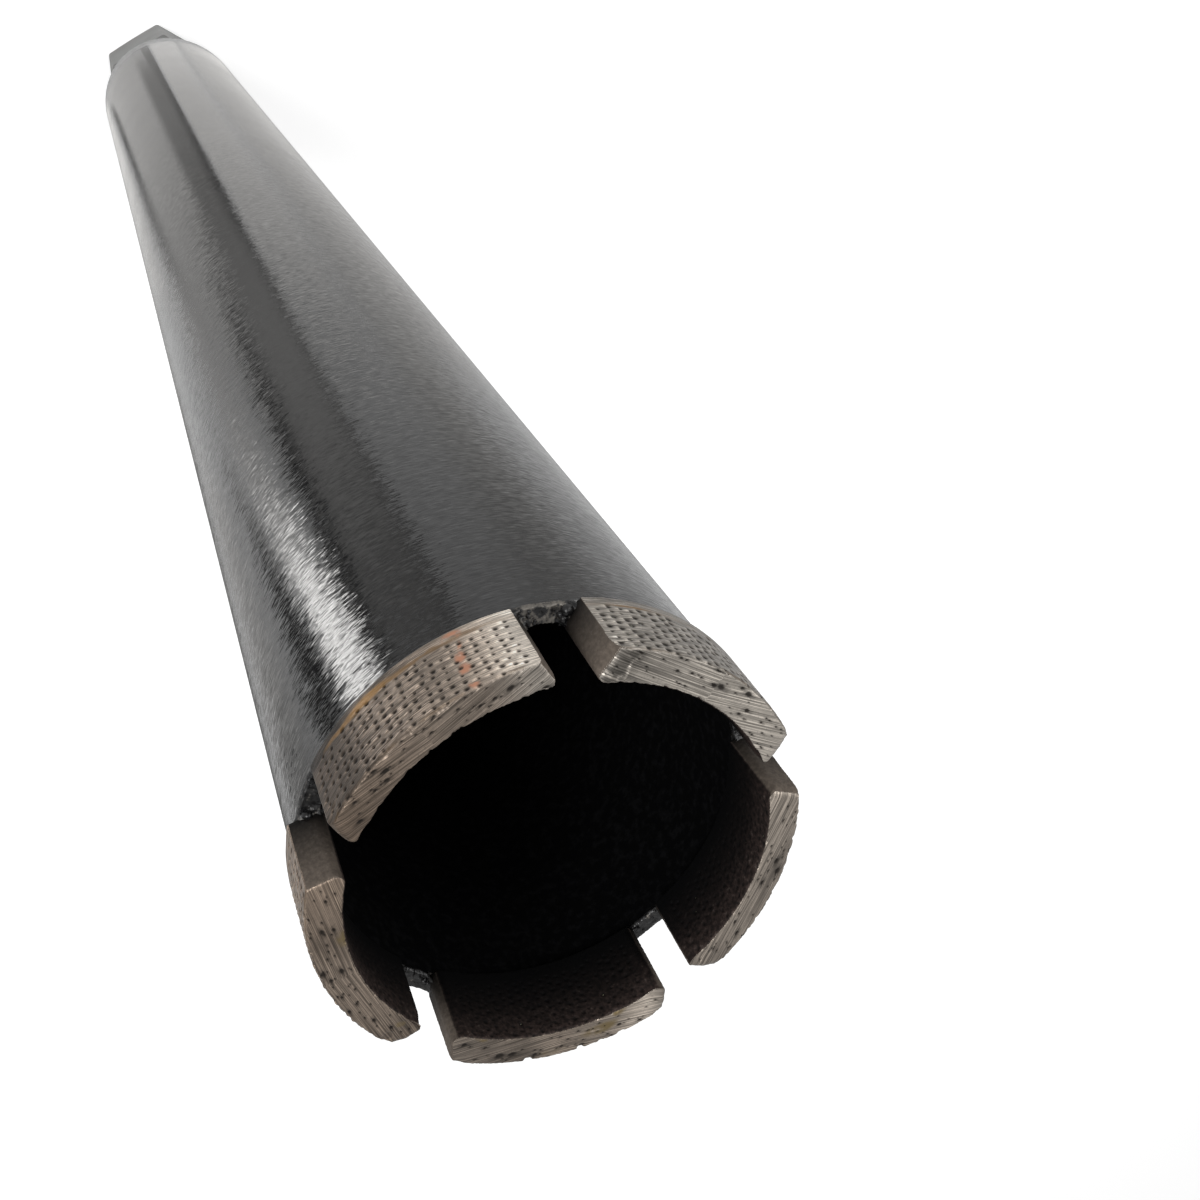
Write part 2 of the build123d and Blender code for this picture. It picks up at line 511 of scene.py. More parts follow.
def bore_coat(settings):
    """Dead black inside of the tube, matt with caked slurry."""
    made, g, surface = new_material("bore_coat")
    cake = g.noise(g.place(), 900.0, 3.0, 0.6)
    surface("Base Color",
            g.mix(g.rise(cake, 0.45, 0.7), settings.bore_colour, (0.0045, 0.0045, 0.005)))
    surface("Roughness", 0.9)
    surface("Specular IOR Level", 0.06)
    surface("Normal", g.bump(cake, 0.05 * MM))
    return made


def hub_paint(settings):
    """Dull grey finish on the hub's outside, bare steel in its thread."""
    made, g, surface = new_material("hub_paint")
    axis = g.group(around_axis)
    marks = g.group(turning_marks, Length=4.0, Width=0.3, Slant=0.05)
    bare = g.times(g.rise(axis["Out"], 17.2, 16.6), g.rise(axis["Up"], 39.0, 36.0))
    worn = g.rise(g.plus(marks["Cloud"], g.times(marks["Grain"], 0.3)), 0.80, 0.90)
    tone = g.mix(g.rise(marks["Height"], 0.3, 0.7), (0.16, 0.16, 0.155), (0.21, 0.21, 0.205))
    tone = g.mix(g.times(worn, 0.5), tone, (0.24, 0.235, 0.225))
    tone = g.mix(bare, tone, settings.thread_colour)
    surface("Base Color", tone)
    surface("Metallic", g.times(bare, 0.85))
    surface("Roughness",
            g.plus(g.rise(marks["Cloud"], 0.3, 0.7, 0.36, 0.46), g.times(bare, 0.12)))
    surface("Normal", g.bump(marks["Height"], 0.012 * MM))
    return made


def sintered_metal(settings):
    """Ground matrix of the outer side and the cutting face: streaks, pits and stains."""
    made, g, surface = new_material("sintered_metal")
    streak = g.group(ground_streaks, Length=3.0, Width=0.12, Seed=3.0)
    broad = g.group(ground_streaks, Length=8.0, Width=0.45, Seed=9.0)
    pit, scuff_and_glint = g.attribute("pit"), g.attribute("scuff_and_glint")
    blotch = g.noise(g.place(), 300.0, 3.0, 0.6)
    metal = Vector(settings.metal_colour)
    both = g.plus(g.times(streak["Streaks"], 0.65), g.times(broad["Streaks"], 0.35))
    tone = g.mix(g.rise(both, 0.38, 0.62), metal * 0.40, metal * 1.6)
    # Painted glints: bright streaks on the scored places and on the cutting face.
    tone = g.mix(g.times(scuff_and_glint, g.rise(streak["Streaks"], 0.55, 0.68)), tone, metal * 3.0)
    tone = g.mix(g.rise(blotch, 0.35, 0.75, 0.0, 0.4), tone, metal * 0.6)
    tone = g.mix(g.rise(streak["Speckle"], 0.55, 0.72, 0.0, 0.35), tone, metal * 0.35)
    # The tone attribute carries painted highlight and shade: the lightness rows, ridge highlights
    # and chip rims.
    grey = g.node("ShaderNodeCombineColor", {key: g.attribute("tone") for key in
                                             ("Red", "Green", "Blue")}).outputs[0]
    tone = g.mix(1.0, tone, grey, "MULTIPLY")
    tone = g.mix(g.attribute("warm"), tone, (1.08, 0.84, 0.68), "MULTIPLY")
    tone = g.mix(g.times(g.attribute("golden"), g.rise(streak["Speckle"], 0.2, 0.5, 0.5, 1.0)),
                 tone, settings.heat_colour)
    # Painted reflection of an orange thing, as an orange stripe in the colour.
    tone = g.mix(g.times(g.attribute("orange_reflection"), g.rise(blotch, 0.40, 0.50)), tone,
                 settings.copper_colour)
    tone = g.mix(g.times(g.attribute("ochre"), g.rise(blotch, 0.3, 0.6)), tone,
                 settings.ochre_colour)
    tone = g.mix(g.times(pit, 0.92), tone, (0.016, 0.013, 0.011))
    surface("Base Color", tone)
    surface("Metallic", 0.75)
    rough = g.rise(streak["Streaks"], 0.3, 0.7, 0.50, 0.34)
    surface("Roughness", g.plus(rough, g.times(pit, 0.3)))
    relief = g.plus(streak["Streaks"], g.times(streak["Speckle"], 0.5))
    surface("Normal", g.bump(relief, 0.03 * MM))
    return made


def sooty_matrix(settings):
    """Core side and end faces as they left the mould: dark grains, sooty towards the solder."""
    made, g, surface = new_material("sooty_matrix")
    pit, inner = g.attribute("pit"), g.attribute("core_side")
    fine = g.noise(g.place(), 1900.0, 2.5, 0.65)
    grains = g.mix(inner, settings.end_colour, settings.core_colour)
    dark = g.times(g.rise(fine, 0.35, 0.65, 0.7, 0.0), g.rise(inner, 0.0, 1.0, 0.4, 1.0))
    grains = g.mix(dark, grains, (0.004, 0.004, 0.004))
    # Light grains stand partly for sparkle: painted glints on the dark matrix.
    grains = g.mix(g.rise(fine, 0.62, 0.75, 0.0, 0.35), grains, (0.20, 0.17, 0.15))
    tone = g.mix(g.times(pit, 0.8), grains, (0.003, 0.003, 0.003))
    tone = g.mix(g.attribute("soot"), tone, (0.0008, 0.0008, 0.001))
    surface("Base Color", tone)
    surface("Roughness", 0.75)
    surface("Specular IOR Level", 0.12)
    surface("Normal", g.bump(fine, 0.04 * MM))
    return made


def solder_metal(settings):
    """Dull solder, mostly under black paint, bare where it was knocked."""
    made, g, surface = new_material("solder_metal")
    patch = g.noise(g.place(), 900.0, 4.0, 0.6)
    bare = g.rise(g.plus(patch, g.times(g.attribute("bare"), 0.14)), 0.60, 0.74)
    soot = g.mix(g.rise(patch, 0.35, 0.6), (0.004, 0.004, 0.0045), (0.012, 0.0115, 0.0115))
    surface("Base Color", g.mix(bare, soot, settings.metal_colour))
    surface("Metallic", g.times(bare, 0.8))
    surface("Roughness", g.rise(patch, 0.3, 0.8, 0.22, 0.5))
    rough = g.noise(g.place(), 3500.0, 3.0, 0.6)
    surface("Normal", g.bump(rough, 0.05 * MM))
    return made


def diamond(settings):
    """Yellowish synthetic grains: dark in their pits, bright where a facet meets a lamp."""
    made, g, surface = new_material("diamond")
    cloud = g.noise(g.place(), 900.0, 1.0)
    colour = Vector(settings.colour)
    surface("Base Color", g.mix(cloud, colour, colour * 0.3))
    surface("Roughness", g.rise(cloud, 0.3, 0.7, 0.05, 0.15))
    surface("IOR", 2.2)
    return made


# ======================================================================
# Turned shapes
# ======================================================================

def mesh_of(name, points, faces):
    """A smooth shaded mesh with its faces outwards, from points in millimetres."""
    mesh = raw_mesh(name, points, faces)
    mend_mesh(mesh, 1e-7, face_out=True)
    mesh.shade_smooth()
    return mesh


def wrap_rings(name, rings, angles):
    """A closed shape from rings round the axis; each ring gives (radius, height) of an angle."""
    count = len(angles)
    points = []
    for ring in rings:
        for angle in angles:
            radius, height = ring(angle)
            points.append(polar(radius, angle, height))
    faces = []
    for row in range(len(rings)):
        below, above = row * count, (row + 1) % len(rings) * count
        for i in range(count):
            j = (i + 1) % count
            faces.append((below + i, below + j, above + j, above + i))
    return mesh_of(name, points, faces)


def round_ring(radius, height):
    return lambda angle: (radius, height)


def round_rings(*places):
    """Plain rings at these (radius, height)."""
    return [round_ring(*place) for place in places]


def corner_rings(radius, height, turn_from, turn_to, size, steps=4):
    """Rings round a rounded corner whose centre is (radius, height)."""
    turns = np.radians(np.linspace(turn_from, turn_to, steps + 1))
    return [round_ring(radius + size * math.cos(t), height + size * math.sin(t)) for t in turns]


def barrel_mesh(settings):
    """Thin tube with rounded rim edges."""
    soft = settings.rim_break / MM
    straight = RIM_Z - soft - 0.3
    rings = [round_ring(BARREL_R, z) for z in np.linspace(BARREL_Z, straight, 46)]
    rings += corner_rings(BARREL_R - soft, RIM_Z - soft, 0, 90, soft)
    rings += corner_rings(BORE_R + soft, RIM_Z - soft, 90, 180, soft)
    rings += [round_ring(BORE_R, z) for z in np.linspace(straight, BARREL_Z, 24)]
    return wrap_rings("barrel_tube", rings, np.radians(np.arange(0, 360, 1.25)))


def mark_bore(mesh):
    """Gives the faces inside the tube the second material."""
    wall = (BARREL_R + BORE_R) / 2
    for face in mesh.polygons:
        if math.hypot(face.center.x, face.center.y) / MM < wall - 0.4:
            face.material_index = 1


# The hub's smaller measures, in millimetres and degrees.
HEX_TURN = 8.4          # direction of one hexagon corner
HEX_SIDE = 60           # from one corner to the next
HEX_BEVEL = 30          # bevel that trims the hexagon's corners
RELIEF_WIDTH = 4        # run-out groove behind the thread
RELIEF_GAP = 0.3        # depth of that groove past the thread's roots
MOUTH_BEVEL = 0.8       # bevel past the thread's roots at the hub's mouth
SPIGOT_GAP = 0.05       # clearance of the spigot in the barrel
EDGE_BREAK = 0.4        # broken edges of the spigot and the waterway
THREAD_STEP = 0.26      # height between two rings of the thread


def hexagon_ring(settings, height, cone_radius):
    """Ring of the hexagon, its corners cut by the turned bevel."""
    flat = settings.across_flats / MM / 2
    corner = flat / math.cos(math.radians(HEX_SIDE / 2)) - 0.22

    def ring(angle):
        off = (math.degrees(angle) - HEX_TURN + HEX_SIDE / 2) % HEX_SIDE - HEX_SIDE / 2
        side = flat / math.cos(math.radians(HEX_SIDE / 2 - abs(off)))
        return min(side, corner, cone_radius), height
    return ring


def thread_ring(settings, height):
    """Ring of the bore at one height of the thread."""
    crest, root = settings.thread_minor / MM / 2, settings.thread_major / MM / 2
    pitch = settings.thread_pitch / MM

    def ring(angle):
        turn = (height / pitch - angle / (2 * math.pi)) % 1.0
        # straight flanks between a flat crest and a flat root
        tooth = min(max(abs(turn - 0.5) * 2.0 * 1.25 - 0.125, 0.0), 1.0)
        return crest + (root - crest) * tooth, height
    return ring


def hub_mesh(settings):
    """Hexagon, collar, shoulder and spigot round a threaded bore and the waterway."""
    flat = settings.across_flats / MM / 2
    tall = settings.hexagon_length / MM
    collar, collar_top = settings.collar_diameter / MM / 2, settings.collar_top / MM
    root = settings.thread_major / MM / 2
    water, depth = settings.waterway / MM / 2, settings.thread_depth / MM
    spigot, relief = BORE_R - SPIGOT_GAP, root + RELIEF_GAP
    slope = math.tan(math.radians(HEX_BEVEL))
    widest = flat / math.cos(math.radians(HEX_SIDE / 2))
    climb = np.linspace(flat - 0.1, widest, 12)
    rings = round_rings((root + MOUTH_BEVEL, 0), (flat - 0.3, 0))
    rings += [hexagon_ring(settings, (r - flat) * slope + 0.06, r) for r in climb]
    rings += [hexagon_ring(settings, z, widest) for z in np.linspace(2.2, tall - 2.2, 8)]
    rings += [hexagon_ring(settings, tall - (r - flat) * slope - 0.06, r) for r in climb[::-1]]
    rings += round_rings(
        (collar, tall + 0.05), (collar, tall + 0.3), (collar, 48), (collar, 55),
        (collar, collar_top - 0.25), (collar + 0.15, collar_top + 0.15),
        (BARREL_R - 0.35, BARREL_Z - 0.35), (BARREL_R - 0.05, BARREL_Z - 0.12),
        (BARREL_R - 0.15, BARREL_Z), (spigot, BARREL_Z),
        (spigot, HUB_END_Z - EDGE_BREAK), (spigot - EDGE_BREAK, HUB_END_Z),
        (water + EDGE_BREAK, HUB_END_Z), (water, HUB_END_Z - EDGE_BREAK),
        (water, depth + RELIEF_WIDTH + 0.3), (water + 0.3, depth + RELIEF_WIDTH),
        (root + 0.2, depth + RELIEF_WIDTH), (relief, depth + RELIEF_WIDTH - 0.1),
        (relief, depth + 0.1))
    rings += [thread_ring(settings, z) for z in np.arange(depth, 1.2, -THREAD_STEP)]
    rings.append(round_ring(root, 0.9))
    sector = [0, 0.7, 1.3, 2.2, 4, 7, 10, 13.5, 17, 20, 23.5, 27]
    offsets = sorted({s for d in sector for s in (d, -d)} | {HEX_SIDE // 2})
    turns = sorted((HEX_TURN + HEX_SIDE * k + off) % 360 for k in range(6) for off in offsets)
    return wrap_rings("hub_body", rings, np.radians(turns))


# ======================================================================
# Segment meshes
# ======================================================================

def lattice(ix, iy, seed):
    """A repeatable random number from 0 to 1 for each pair of whole numbers."""
    mixed = (np.asarray(ix).astype(np.int64) * 374761393
             + np.asarray(iy).astype(np.int64) * 668265263 + seed * 974711) & 0xFFFFFFFF
    mixed = ((mixed ^ (mixed >> 13)) * 1274126177) & 0xFFFFFFFF
    return ((mixed ^ (mixed >> 16)) & 0xFFFFFF) / float(0xFFFFFF)


def value_noise(x, y, seed):
    """Value noise from 0 to 1 on a unit grid."""
    ix, iy = np.floor(x), np.floor(y)
    fx, fy = x - ix, y - iy
    fx, fy = fx * fx * (3 - 2 * fx), fy * fy * (3 - 2 * fy)
    corner = [lattice(ix + dx, iy + dy, seed) for dy in (0, 1) for dx in (0, 1)]
    low = corner[0] * (1 - fx) + corner[1] * fx
    high = corner[2] * (1 - fx) + corner[3] * fx
    return low * (1 - fy) + high * fy


def step(value, low, high):
    t = np.clip((value - low) / (high - low), 0, 1)
    return t * t * (3 - 2 * t)


def blob(dx, dy, wide, tall):
    """1 at the middle of an ellipse, 0 outside it."""
    return 1 - step(np.sqrt((dx / wide) ** 2 + (dy / tall) ** 2), 0.45, 1.0)


def fine_copy(node, voxel):
    """A closed, evenly meshed copy of a solid."""
    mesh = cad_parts[node].data.copy()
    mend_mesh(mesh, 1e-6)
    obj = add_object(node + "_work", mesh)
    remesh = obj.modifiers.new("even", "REMESH")
    remesh.mode = "VOXEL"
    remesh.voxel_size = voxel
    remesh.use_smooth_shade = True
    fine = settled_mesh(obj)
    fine.materials.clear()
    return fine


# What sets each segment apart.
#   sides, foot_light_and_shade, cut: lightness along the outer side, along its
#       foot layer and along the cutting face, as (along, lightness) from the clockwise end;
#       painted highlight and shade, partly tone that differs between segments
#   warm: brown cast of the outer side and the cutting face, in the same way
#   slants: degrees of the two sets of grinding marks on the cutting face
#   scuff_and_glint: where the outer side is scored, from and to; bright streaks there are painted
#       glints
#   grit: size of its pits
#   holes: grit holes of the cutting face, as (along, out from the core side, radius)
#   chips: broken places, as (along, out, up, radius, depth)
#   corners: rounded corners of the cutting face, as (along, out, radius, depth)
#   stains: (kind, along, out or up, half width, half height, face)
WEAR = {
    "segment_1": dict(
        sides=((-12, 2.9), (-9.5, 2.6), (-7, 1.5), (-3, 0.95), (1, 0.74), (5, 0.48), (8, 0.32),
               (12, 0.35)),
        foot_light_and_shade=((-12, 1.3), (-7, 1.0), (-3, 1.3), (1, 0.5), (12, 0.4)),
        cut=((-10, 1.25), (-5, 0.80), (0, 1.02), (5, 0.85), (10, 0.74)),
        warm=((-12, 0.15), (-7, 0.5), (-3, 0.55), (4, 0.7), (12, 0.85)),
        slants=(3, -2), scuff_and_glint=(-2.5, 6.0), grit=1.0,
        holes=((-8.6, 1.1, 0.36), (-6.9, 0.7, 0.26), (-5.5, 0.7, 0.24), (-3.8, 1.6, 0.18),
               (-1.8, 2.4, 0.2), (-0.6, 1.1, 0.2), (0.3, 3.0, 0.32), (5.6, 2.3, 0.28),
               (4.8, 1.4, 0.36), (5.4, 0.6, 0.3), (6.8, 0.9, 0.22), (9.9, 0.4, 0.3),
               (-11.0, -0.2, 0.3), (8.9, 1.9, 0.22)),
        chips=((11.2, 25.0, 8.7, 1.1, 0.15),),
        corners=((12.4, 25.8, 1.6, 0.2), (12.4, 22.5, 1.6, 0.2), (-12.4, 22.5, 1.6, 0.2)),
        # The orange_reflection rows are a painted reflection, a stripe down the outer side.
        stains=(("orange_reflection", -6.5, 0.9, 1.5, 0.9, "out"), ("orange_reflection", -6.5, 2.7, 0.8, 1.0, "out"),
                ("orange_reflection", -6.4, 4.6, 0.75, 1.1, "out"), ("orange_reflection", -6.4, 6.7, 0.8, 1.2, "out"),
                ("orange_reflection", -6.5, 8.9, 0.7, 1.3, "out"), ("golden", 3.5, 1.3, 4.5, 0.8, "out"))),
    "segment_2": dict(
        sides=((-12, 0.95), (-1, 1.05), (3, 1.12), (7, 1.2), (11, 1.38), (12.4, 1.4)),
        foot_light_and_shade=((-12, 0.95), (3, 0.95), (7, 0.85), (12, 0.8)),
        cut=((-10, 1.9), (-5, 2.1), (0, 1.9), (5, 1.8), (8.5, 1.3), (10, 0.7), (12, 1.0)),
        warm=((-12, 0.1), (12, 0.1)),
        slants=(-7, -12), scuff_and_glint=(8, 13), grit=1.25,
        holes=((-7.7, 1.6, 0.18), (-5.2, 1.3, 0.28), (-4.6, 0.5, 0.2), (-4.0, 2.6, 0.36),
               (-2.9, 2.7, 0.24), (-0.6, 1.6, 0.40), (0.2, 1.4, 0.3), (3.3, 1.6, 0.2),
               (4.9, 1.4, 0.2), (0.8, 3.0, 0.34), (-8.4, 2.4, 0.15), (3.8, 0.2, 0.15),
               (9.6, 2.6, 0.2), (5.5, 2.8, 0.2), (-1.4, 3.3, 0.25), (-3.4, 3.3, 0.25)),
        chips=((11.9, 24.2, 9.9, 1.7, 0.22), (10.6, 25.6, 9.9, 0.8, 0.12)),
        corners=((-12.4, 26.2, 1.5, 0.15), (-12.4, 22.5, 1.8, 0.3)),
        stains=(("golden", 7.8, 1.5, 3.0, 0.25, "out"),)),
    "segment_3": dict(
        sides=((-12, 1.1), (12, 1.1)), foot_light_and_shade=((-12, 1.2), (12, 1.2)),
        cut=((-10, 1.05), (-5, 1.2), (0, 1.22), (5, 1.3), (10, 1.4)),
        warm=((-12, 0.35), (12, 0.3)),
        slants=(1, 4), scuff_and_glint=(-13, 13), grit=1.1,
        holes=((-6.9, 1.8, 0.30), (-9.5, 1.2, 0.15), (-5.4, 0.5, 0.2), (0.2, 0.9, 0.30),
               (1.9, 2.2, 0.42), (3.2, 1.6, 0.34), (-4.2, 0.2, 0.15), (8.5, 1.3, 0.18)),
        chips=(),
        corners=((-12.4, 26.2, 1.6, 0.25), (-12.4, 22.5, 1.8, 0.3)),
        stains=()),
    "segment_4": dict(
        sides=((-12, 1.0), (12, 1.0)), foot_light_and_shade=((-12, 1.2), (12, 1.2)),
        cut=((-11, 0.85), (-7, 0.8), (-4, 0.72), (-1, 1.15), (5, 1.3), (7.5, 1.7), (10, 2.7),
             (12, 1.3)),
        warm=((-12, 0.45), (0, 0.55), (12, 0.25)),
        slants=(2, -3), scuff_and_glint=(-13, 13), grit=1.0,
        holes=((-10.9, 0.5, 0.28), (-7.0, 1.9, 0.48), (-5.6, 1.8, 0.42), (-3.0, 2.3, 0.28),
               (0.1, 1.9, 0.2), (6.9, 1.8, 0.28), (3.2, 0.7, 0.18), (9.4, 2.7, 0.24),
               (-8.6, 0.7, 0.2), (2.5, 2.6, 0.3)),
        chips=((-3.8, 26.1, 9.8, 0.6, 0.3), (2.3, 26.1, 9.8, 0.45, 0.26)),
        corners=((12.4, 22.5, 2.4, 0.4), (12.4, 26.2, 1.4, 0.2), (-12.4, 26.2, 1.4, 0.15)),
        stains=(("ochre", 4.6, 24.2, 2.8, 1.0, "cut"), ("ochre", -9.0, 22.3, 1.0, 0.8, "cut"),
                ("ochre", -1.0, 25.3, 2.0, 0.5, "cut"), ("ochre", 6.8, 22.9, 1.0, 0.6, "cut"))),
    "segment_5": dict(
        sides=((-12, 0.9), (12, 0.9)), foot_light_and_shade=((-12, 1.1), (12, 1.1)),
        cut=((-10, 1.1), (-7, 0.9), (-5, 0.68), (-2, 1.0), (5, 1.12), (8, 1.0), (10, 0.7)),
        warm=((-12, 0.75), (0, 0.6), (12, 0.65)),
        slants=(-6, 3), scuff_and_glint=(-13, 13), grit=1.0,
        holes=((-6.5, 1.6, 0.30), (-1.4, 2.6, 0.34), (-0.2, 2.2, 0.24), (-0.8, 0.9, 0.34),
               (-6.2, 0.5, 0.24), (4.8, 2.6, 0.24), (7.4, 1.6, 0.28), (-9.9, 1.2, 0.2),
               (2.5, 2.2, 0.2), (9.4, 1.2, 0.24), (4.2, 1.5, 0.18), (-10.7, -0.6, 0.2)),
        chips=((11.0, 25.4, 9.8, 0.9, 0.2),),
        corners=((12.4, 26.2, 1.8, 0.25), (12.6, 22.5, 2.6, 0.5)),
        stains=(("ochre", -4.8, 22.9, 1.3, 0.9, "cut"), ("ochre", -10.7, 22.0, 0.6, 0.5, "cut"),
                ("ochre", 9.6, 23.5, 0.7, 0.6, "cut"))),
}


SMALL_HOLES = 38        # how many small holes each cutting face has besides those above
# Depths and distances in millimetres.
RIDGE_RISE = 0.05       # height of the ridge behind a pit
GROOVE_DEPTH = 0.05     # depth of the scores on the outer side
ROUGH_END = 0.05        # roughness of the end faces
ROUGH_CORE = 0.03       # roughness of the core side
TORN_DEEP = 0.12        # depth of the longer tears along the cutting face's edges
TORN_FINE = 0.06        # and of the short ones
GRIT_INSET = 0.6        # no grain stands nearer than this to a side face's ends and front
GRIT_BED_OUT = 0.21     # pit radius that holds a full grain on the outer side
GRIT_BED_IN = 0.25      # and on the core side


def along_rows(rows, places):
    """Value at each place between rows of (place, value)."""
    return np.interp(places, [row[0] for row in rows], [row[1] for row in rows])


def grit_rows(settings, seed):
    """Centres and sizes of the grit pits on a side face, as rows of (along, up, radius)."""
    pitch_a, pitch_u = settings.pit_pitch_round / MM, settings.pit_pitch_up / MM
    reach, count = int(HALF_ARC / pitch_a) + 1, int(SEGMENT_TALL / pitch_u) + 2
    column, row = np.meshgrid(np.arange(-reach, reach + 1), np.arange(0, count))
    column, row = column.ravel(), row.ravel()
    stagger = (column * 0.37) % 1.0
    along = (column + (lattice(column, row, seed) - 0.5) * 0.34) * pitch_a
    shift = (lattice(column, row, seed + 1) - 0.5) * 0.26
    up = SEGMENT_TALL - 0.35 - (row - 1 + stagger + shift) * pitch_u
    size = settings.pit_radius / MM * (0.62 + 0.62 * lattice(column, row, seed + 2))
    keep = (lattice(column, row, seed + 3) > 0.07) & (up > settings.foot_height / MM + 0.3)
    keep &= (np.abs(along) < HALF_ARC - 0.4) & (up < SEGMENT_TALL - 0.1)
    return np.stack([along, up, size], 1)[keep]


def pit_field(along, up, pits, tail):
    """How deep each place lies in a pit, and how far it stands on a ridge behind one."""
    deep, ridge = np.zeros_like(along), np.zeros_like(along)
    order = np.argsort(along)
    sorted_along = along[order]
    for a, u, size in pits:
        first, last = np.searchsorted(sorted_along, (a - 3 * size, a + tail + 3 * size))
        here = order[first:last]
        da, du = along[here] - a, up[here] - u
        hole = np.exp(-((da / size) ** 2 + (du / (size * 0.85)) ** 2) ** 1.5)
        deep[here] = np.maximum(deep[here], hole)
        behind = step(da, 0.2 * size, 1.2 * size) * (1 - step(da, 0.3 * tail, tail))
        ridge[here] = np.maximum(ridge[here], behind * np.exp(-(du / (size * 0.8)) ** 2))
    return deep, ridge


class Worn:
    """A segment's fine mesh with each vertex's place in the segment's own terms."""

    def __init__(self, node, settings):
        self.number = int(node.rsplit("_", 1)[1]) - 1
        self.seed = settings.seed + 17 * self.number
        self.wear = WEAR[node]
        self.mesh = fine_copy(node, settings.voxel)
        self.co = read_vectors(self.mesh.vertices, "co") / MM
        self.normal = read_vectors(self.mesh.vertex_normals, "vector")
        seat = SEATS[self.number]
        cos, sin = math.cos(seat.turn), math.sin(seat.turn)
        x, y, z = self.co.T
        self.across = x * cos + y * sin
        self.chord = -x * sin + y * cos
        self.up = z - FOOT_Z
        self.reach = np.hypot(x, y)
        self.inset = seat.outer_r(self.up) - self.reach
        self.arc = np.arctan2(self.chord, self.across) * CUT_R
        self.out = np.stack([x / self.reach, y / self.reach, np.zeros_like(x)], 1)
        facing = (self.normal * self.out).sum(1)
        self.outer = step(facing, 0.55, 0.85)
        self.inner = step(-facing, 0.5, 0.8)
        self.front = step(self.normal[:, 2], 0.62, 0.9)
        below = step(-self.normal[:, 2], 0.6, 0.9)
        self.end = np.clip(1 - self.outer - self.inner - self.front - below, 0, 1)


def worn_segment(node, settings):
    """The segment's solid, finely meshed, with pits, ridges, chips and torn edges."""
    w = Worn(node, settings)
    rows = grit_rows(settings, w.seed)
    rows[:, 2] *= w.wear["grit"]
    deep, ridge = pit_field(w.arc, w.up, rows, 1.0)
    pit = deep * (w.outer + 0.7 * w.inner)
    ridge = ridge * w.outer
    low, high = w.wear["scuff_and_glint"]
    scuff_and_glint = step(w.chord, low - 1, low + 1) * (1 - step(w.chord, high - 1, high + 1))
    pit_front, smear = front_holes(w)
    pit = np.clip(pit + pit_front, 0, 1)
    groove = value_noise(w.arc / 1.3 + 40, w.up / 0.22, w.seed + 5) - 0.5
    beside = np.where(w.end > 0.5, w.across, w.arc)
    rough = value_noise(beside / 0.24 + 90, w.up / 0.24, w.seed + 8) - 0.5
    dent = pit * settings.pit_depth / MM - ridge * RIDGE_RISE * (0.5 + scuff_and_glint)
    dent += groove * GROOVE_DEPTH * w.outer * (0.4 + 0.6 * scuff_and_glint)
    dent += rough * (ROUGH_END * w.end + ROUGH_CORE * w.inner)
    w.co -= w.normal * dent[:, None]
    chipped = chip(w)
    w.mesh.vertices.foreach_set("co", (w.co * MM).astype(np.float32).ravel())
    put_masks(w, settings, pit, smear, ridge, scuff_and_glint, chipped)
    put_grain(w)
    w.mesh.update()
    return w.mesh, rows


def front_holes(w):
    """Grit holes of the cutting face, with the smear that grinding drew out of each."""
    deep, smear = np.zeros_like(w.arc), np.zeros_like(w.arc)
    few = lattice(np.arange(SMALL_HOLES + 2), np.full(SMALL_HOLES + 2, 3), w.seed + 30)
    more = tuple(((few[i] - 0.5) * 23, few[i + 1] * 3.2, 0.08 + 0.07 * few[i + 2])
                 for i in range(SMALL_HOLES))
    ragged = 0.7 + 0.6 * value_noise(w.chord / 0.17 + 60, w.across / 0.17, w.seed + 31)
    for along, out, size in w.wear["holes"] + more:
        drop = w.across - np.sqrt(np.maximum((CORE_R + 0.6 + out) ** 2 - along * along, 1.0))
        away = w.chord - along
        hole = np.exp(-(((away / (size * 1.2)) ** 2 + (drop / (size * 0.8)) ** 2) * ragged) ** 2)
        deep = np.maximum(deep, hole * w.front)
        trail = np.exp(-(drop / (size * 0.9)) ** 2) * blob(away, 0 * away, size * 3.5, 1)
        smear = np.maximum(smear, trail * w.front)
    return deep, smear


def chip(w):
    """Breaks the edges of the cutting face; gives how far inside a chip each place lies."""
    near_top = step(w.up, SEGMENT_TALL - 0.7, SEGMENT_TALL - 0.1)
    edge_out = step(-w.inset, -0.6, -0.1) * near_top
    edge_in = step(-w.reach, -CORE_R - 0.6, -CORE_R - 0.1) * near_top
    bites = step(value_noise(w.arc / 0.8 + 7, 0 * w.up, w.seed + 9), 0.6, 0.95) * TORN_DEEP
    bites += value_noise(w.arc / 0.25, 0 * w.up, w.seed + 10) * TORN_FINE
    w.co[:, 2] -= bites * (edge_out + edge_in)
    w.co[:, :2] -= w.out[:, :2] * (bites * (edge_out * 0.8 - edge_in * 0.5))[:, None]
    broken = np.zeros_like(w.up)
    for along, out, up, radius, depth in w.wear["chips"]:
        off = np.sqrt((w.arc - along) ** 2 + (w.reach - out) ** 2 + (w.up - up) ** 2)
        grain = value_noise(w.arc / 0.5 + 3, (w.up + w.reach) / 0.5, w.seed + 21) * 0.5 + 0.75
        gone = 1 - step(off * grain, 0.55 * radius, radius)
        w.co -= w.normal * (gone * depth)[:, None]
        broken = np.maximum(broken, gone)
    for along, out, radius, depth in w.wear["corners"]:
        off = np.sqrt((w.arc - along) ** 2 + (w.reach - out) ** 2 + (w.up - SEGMENT_TALL) ** 2)
        w.co -= w.normal * (depth * (1 - step(off, 0.1 * radius, radius)))[:, None]
    return broken


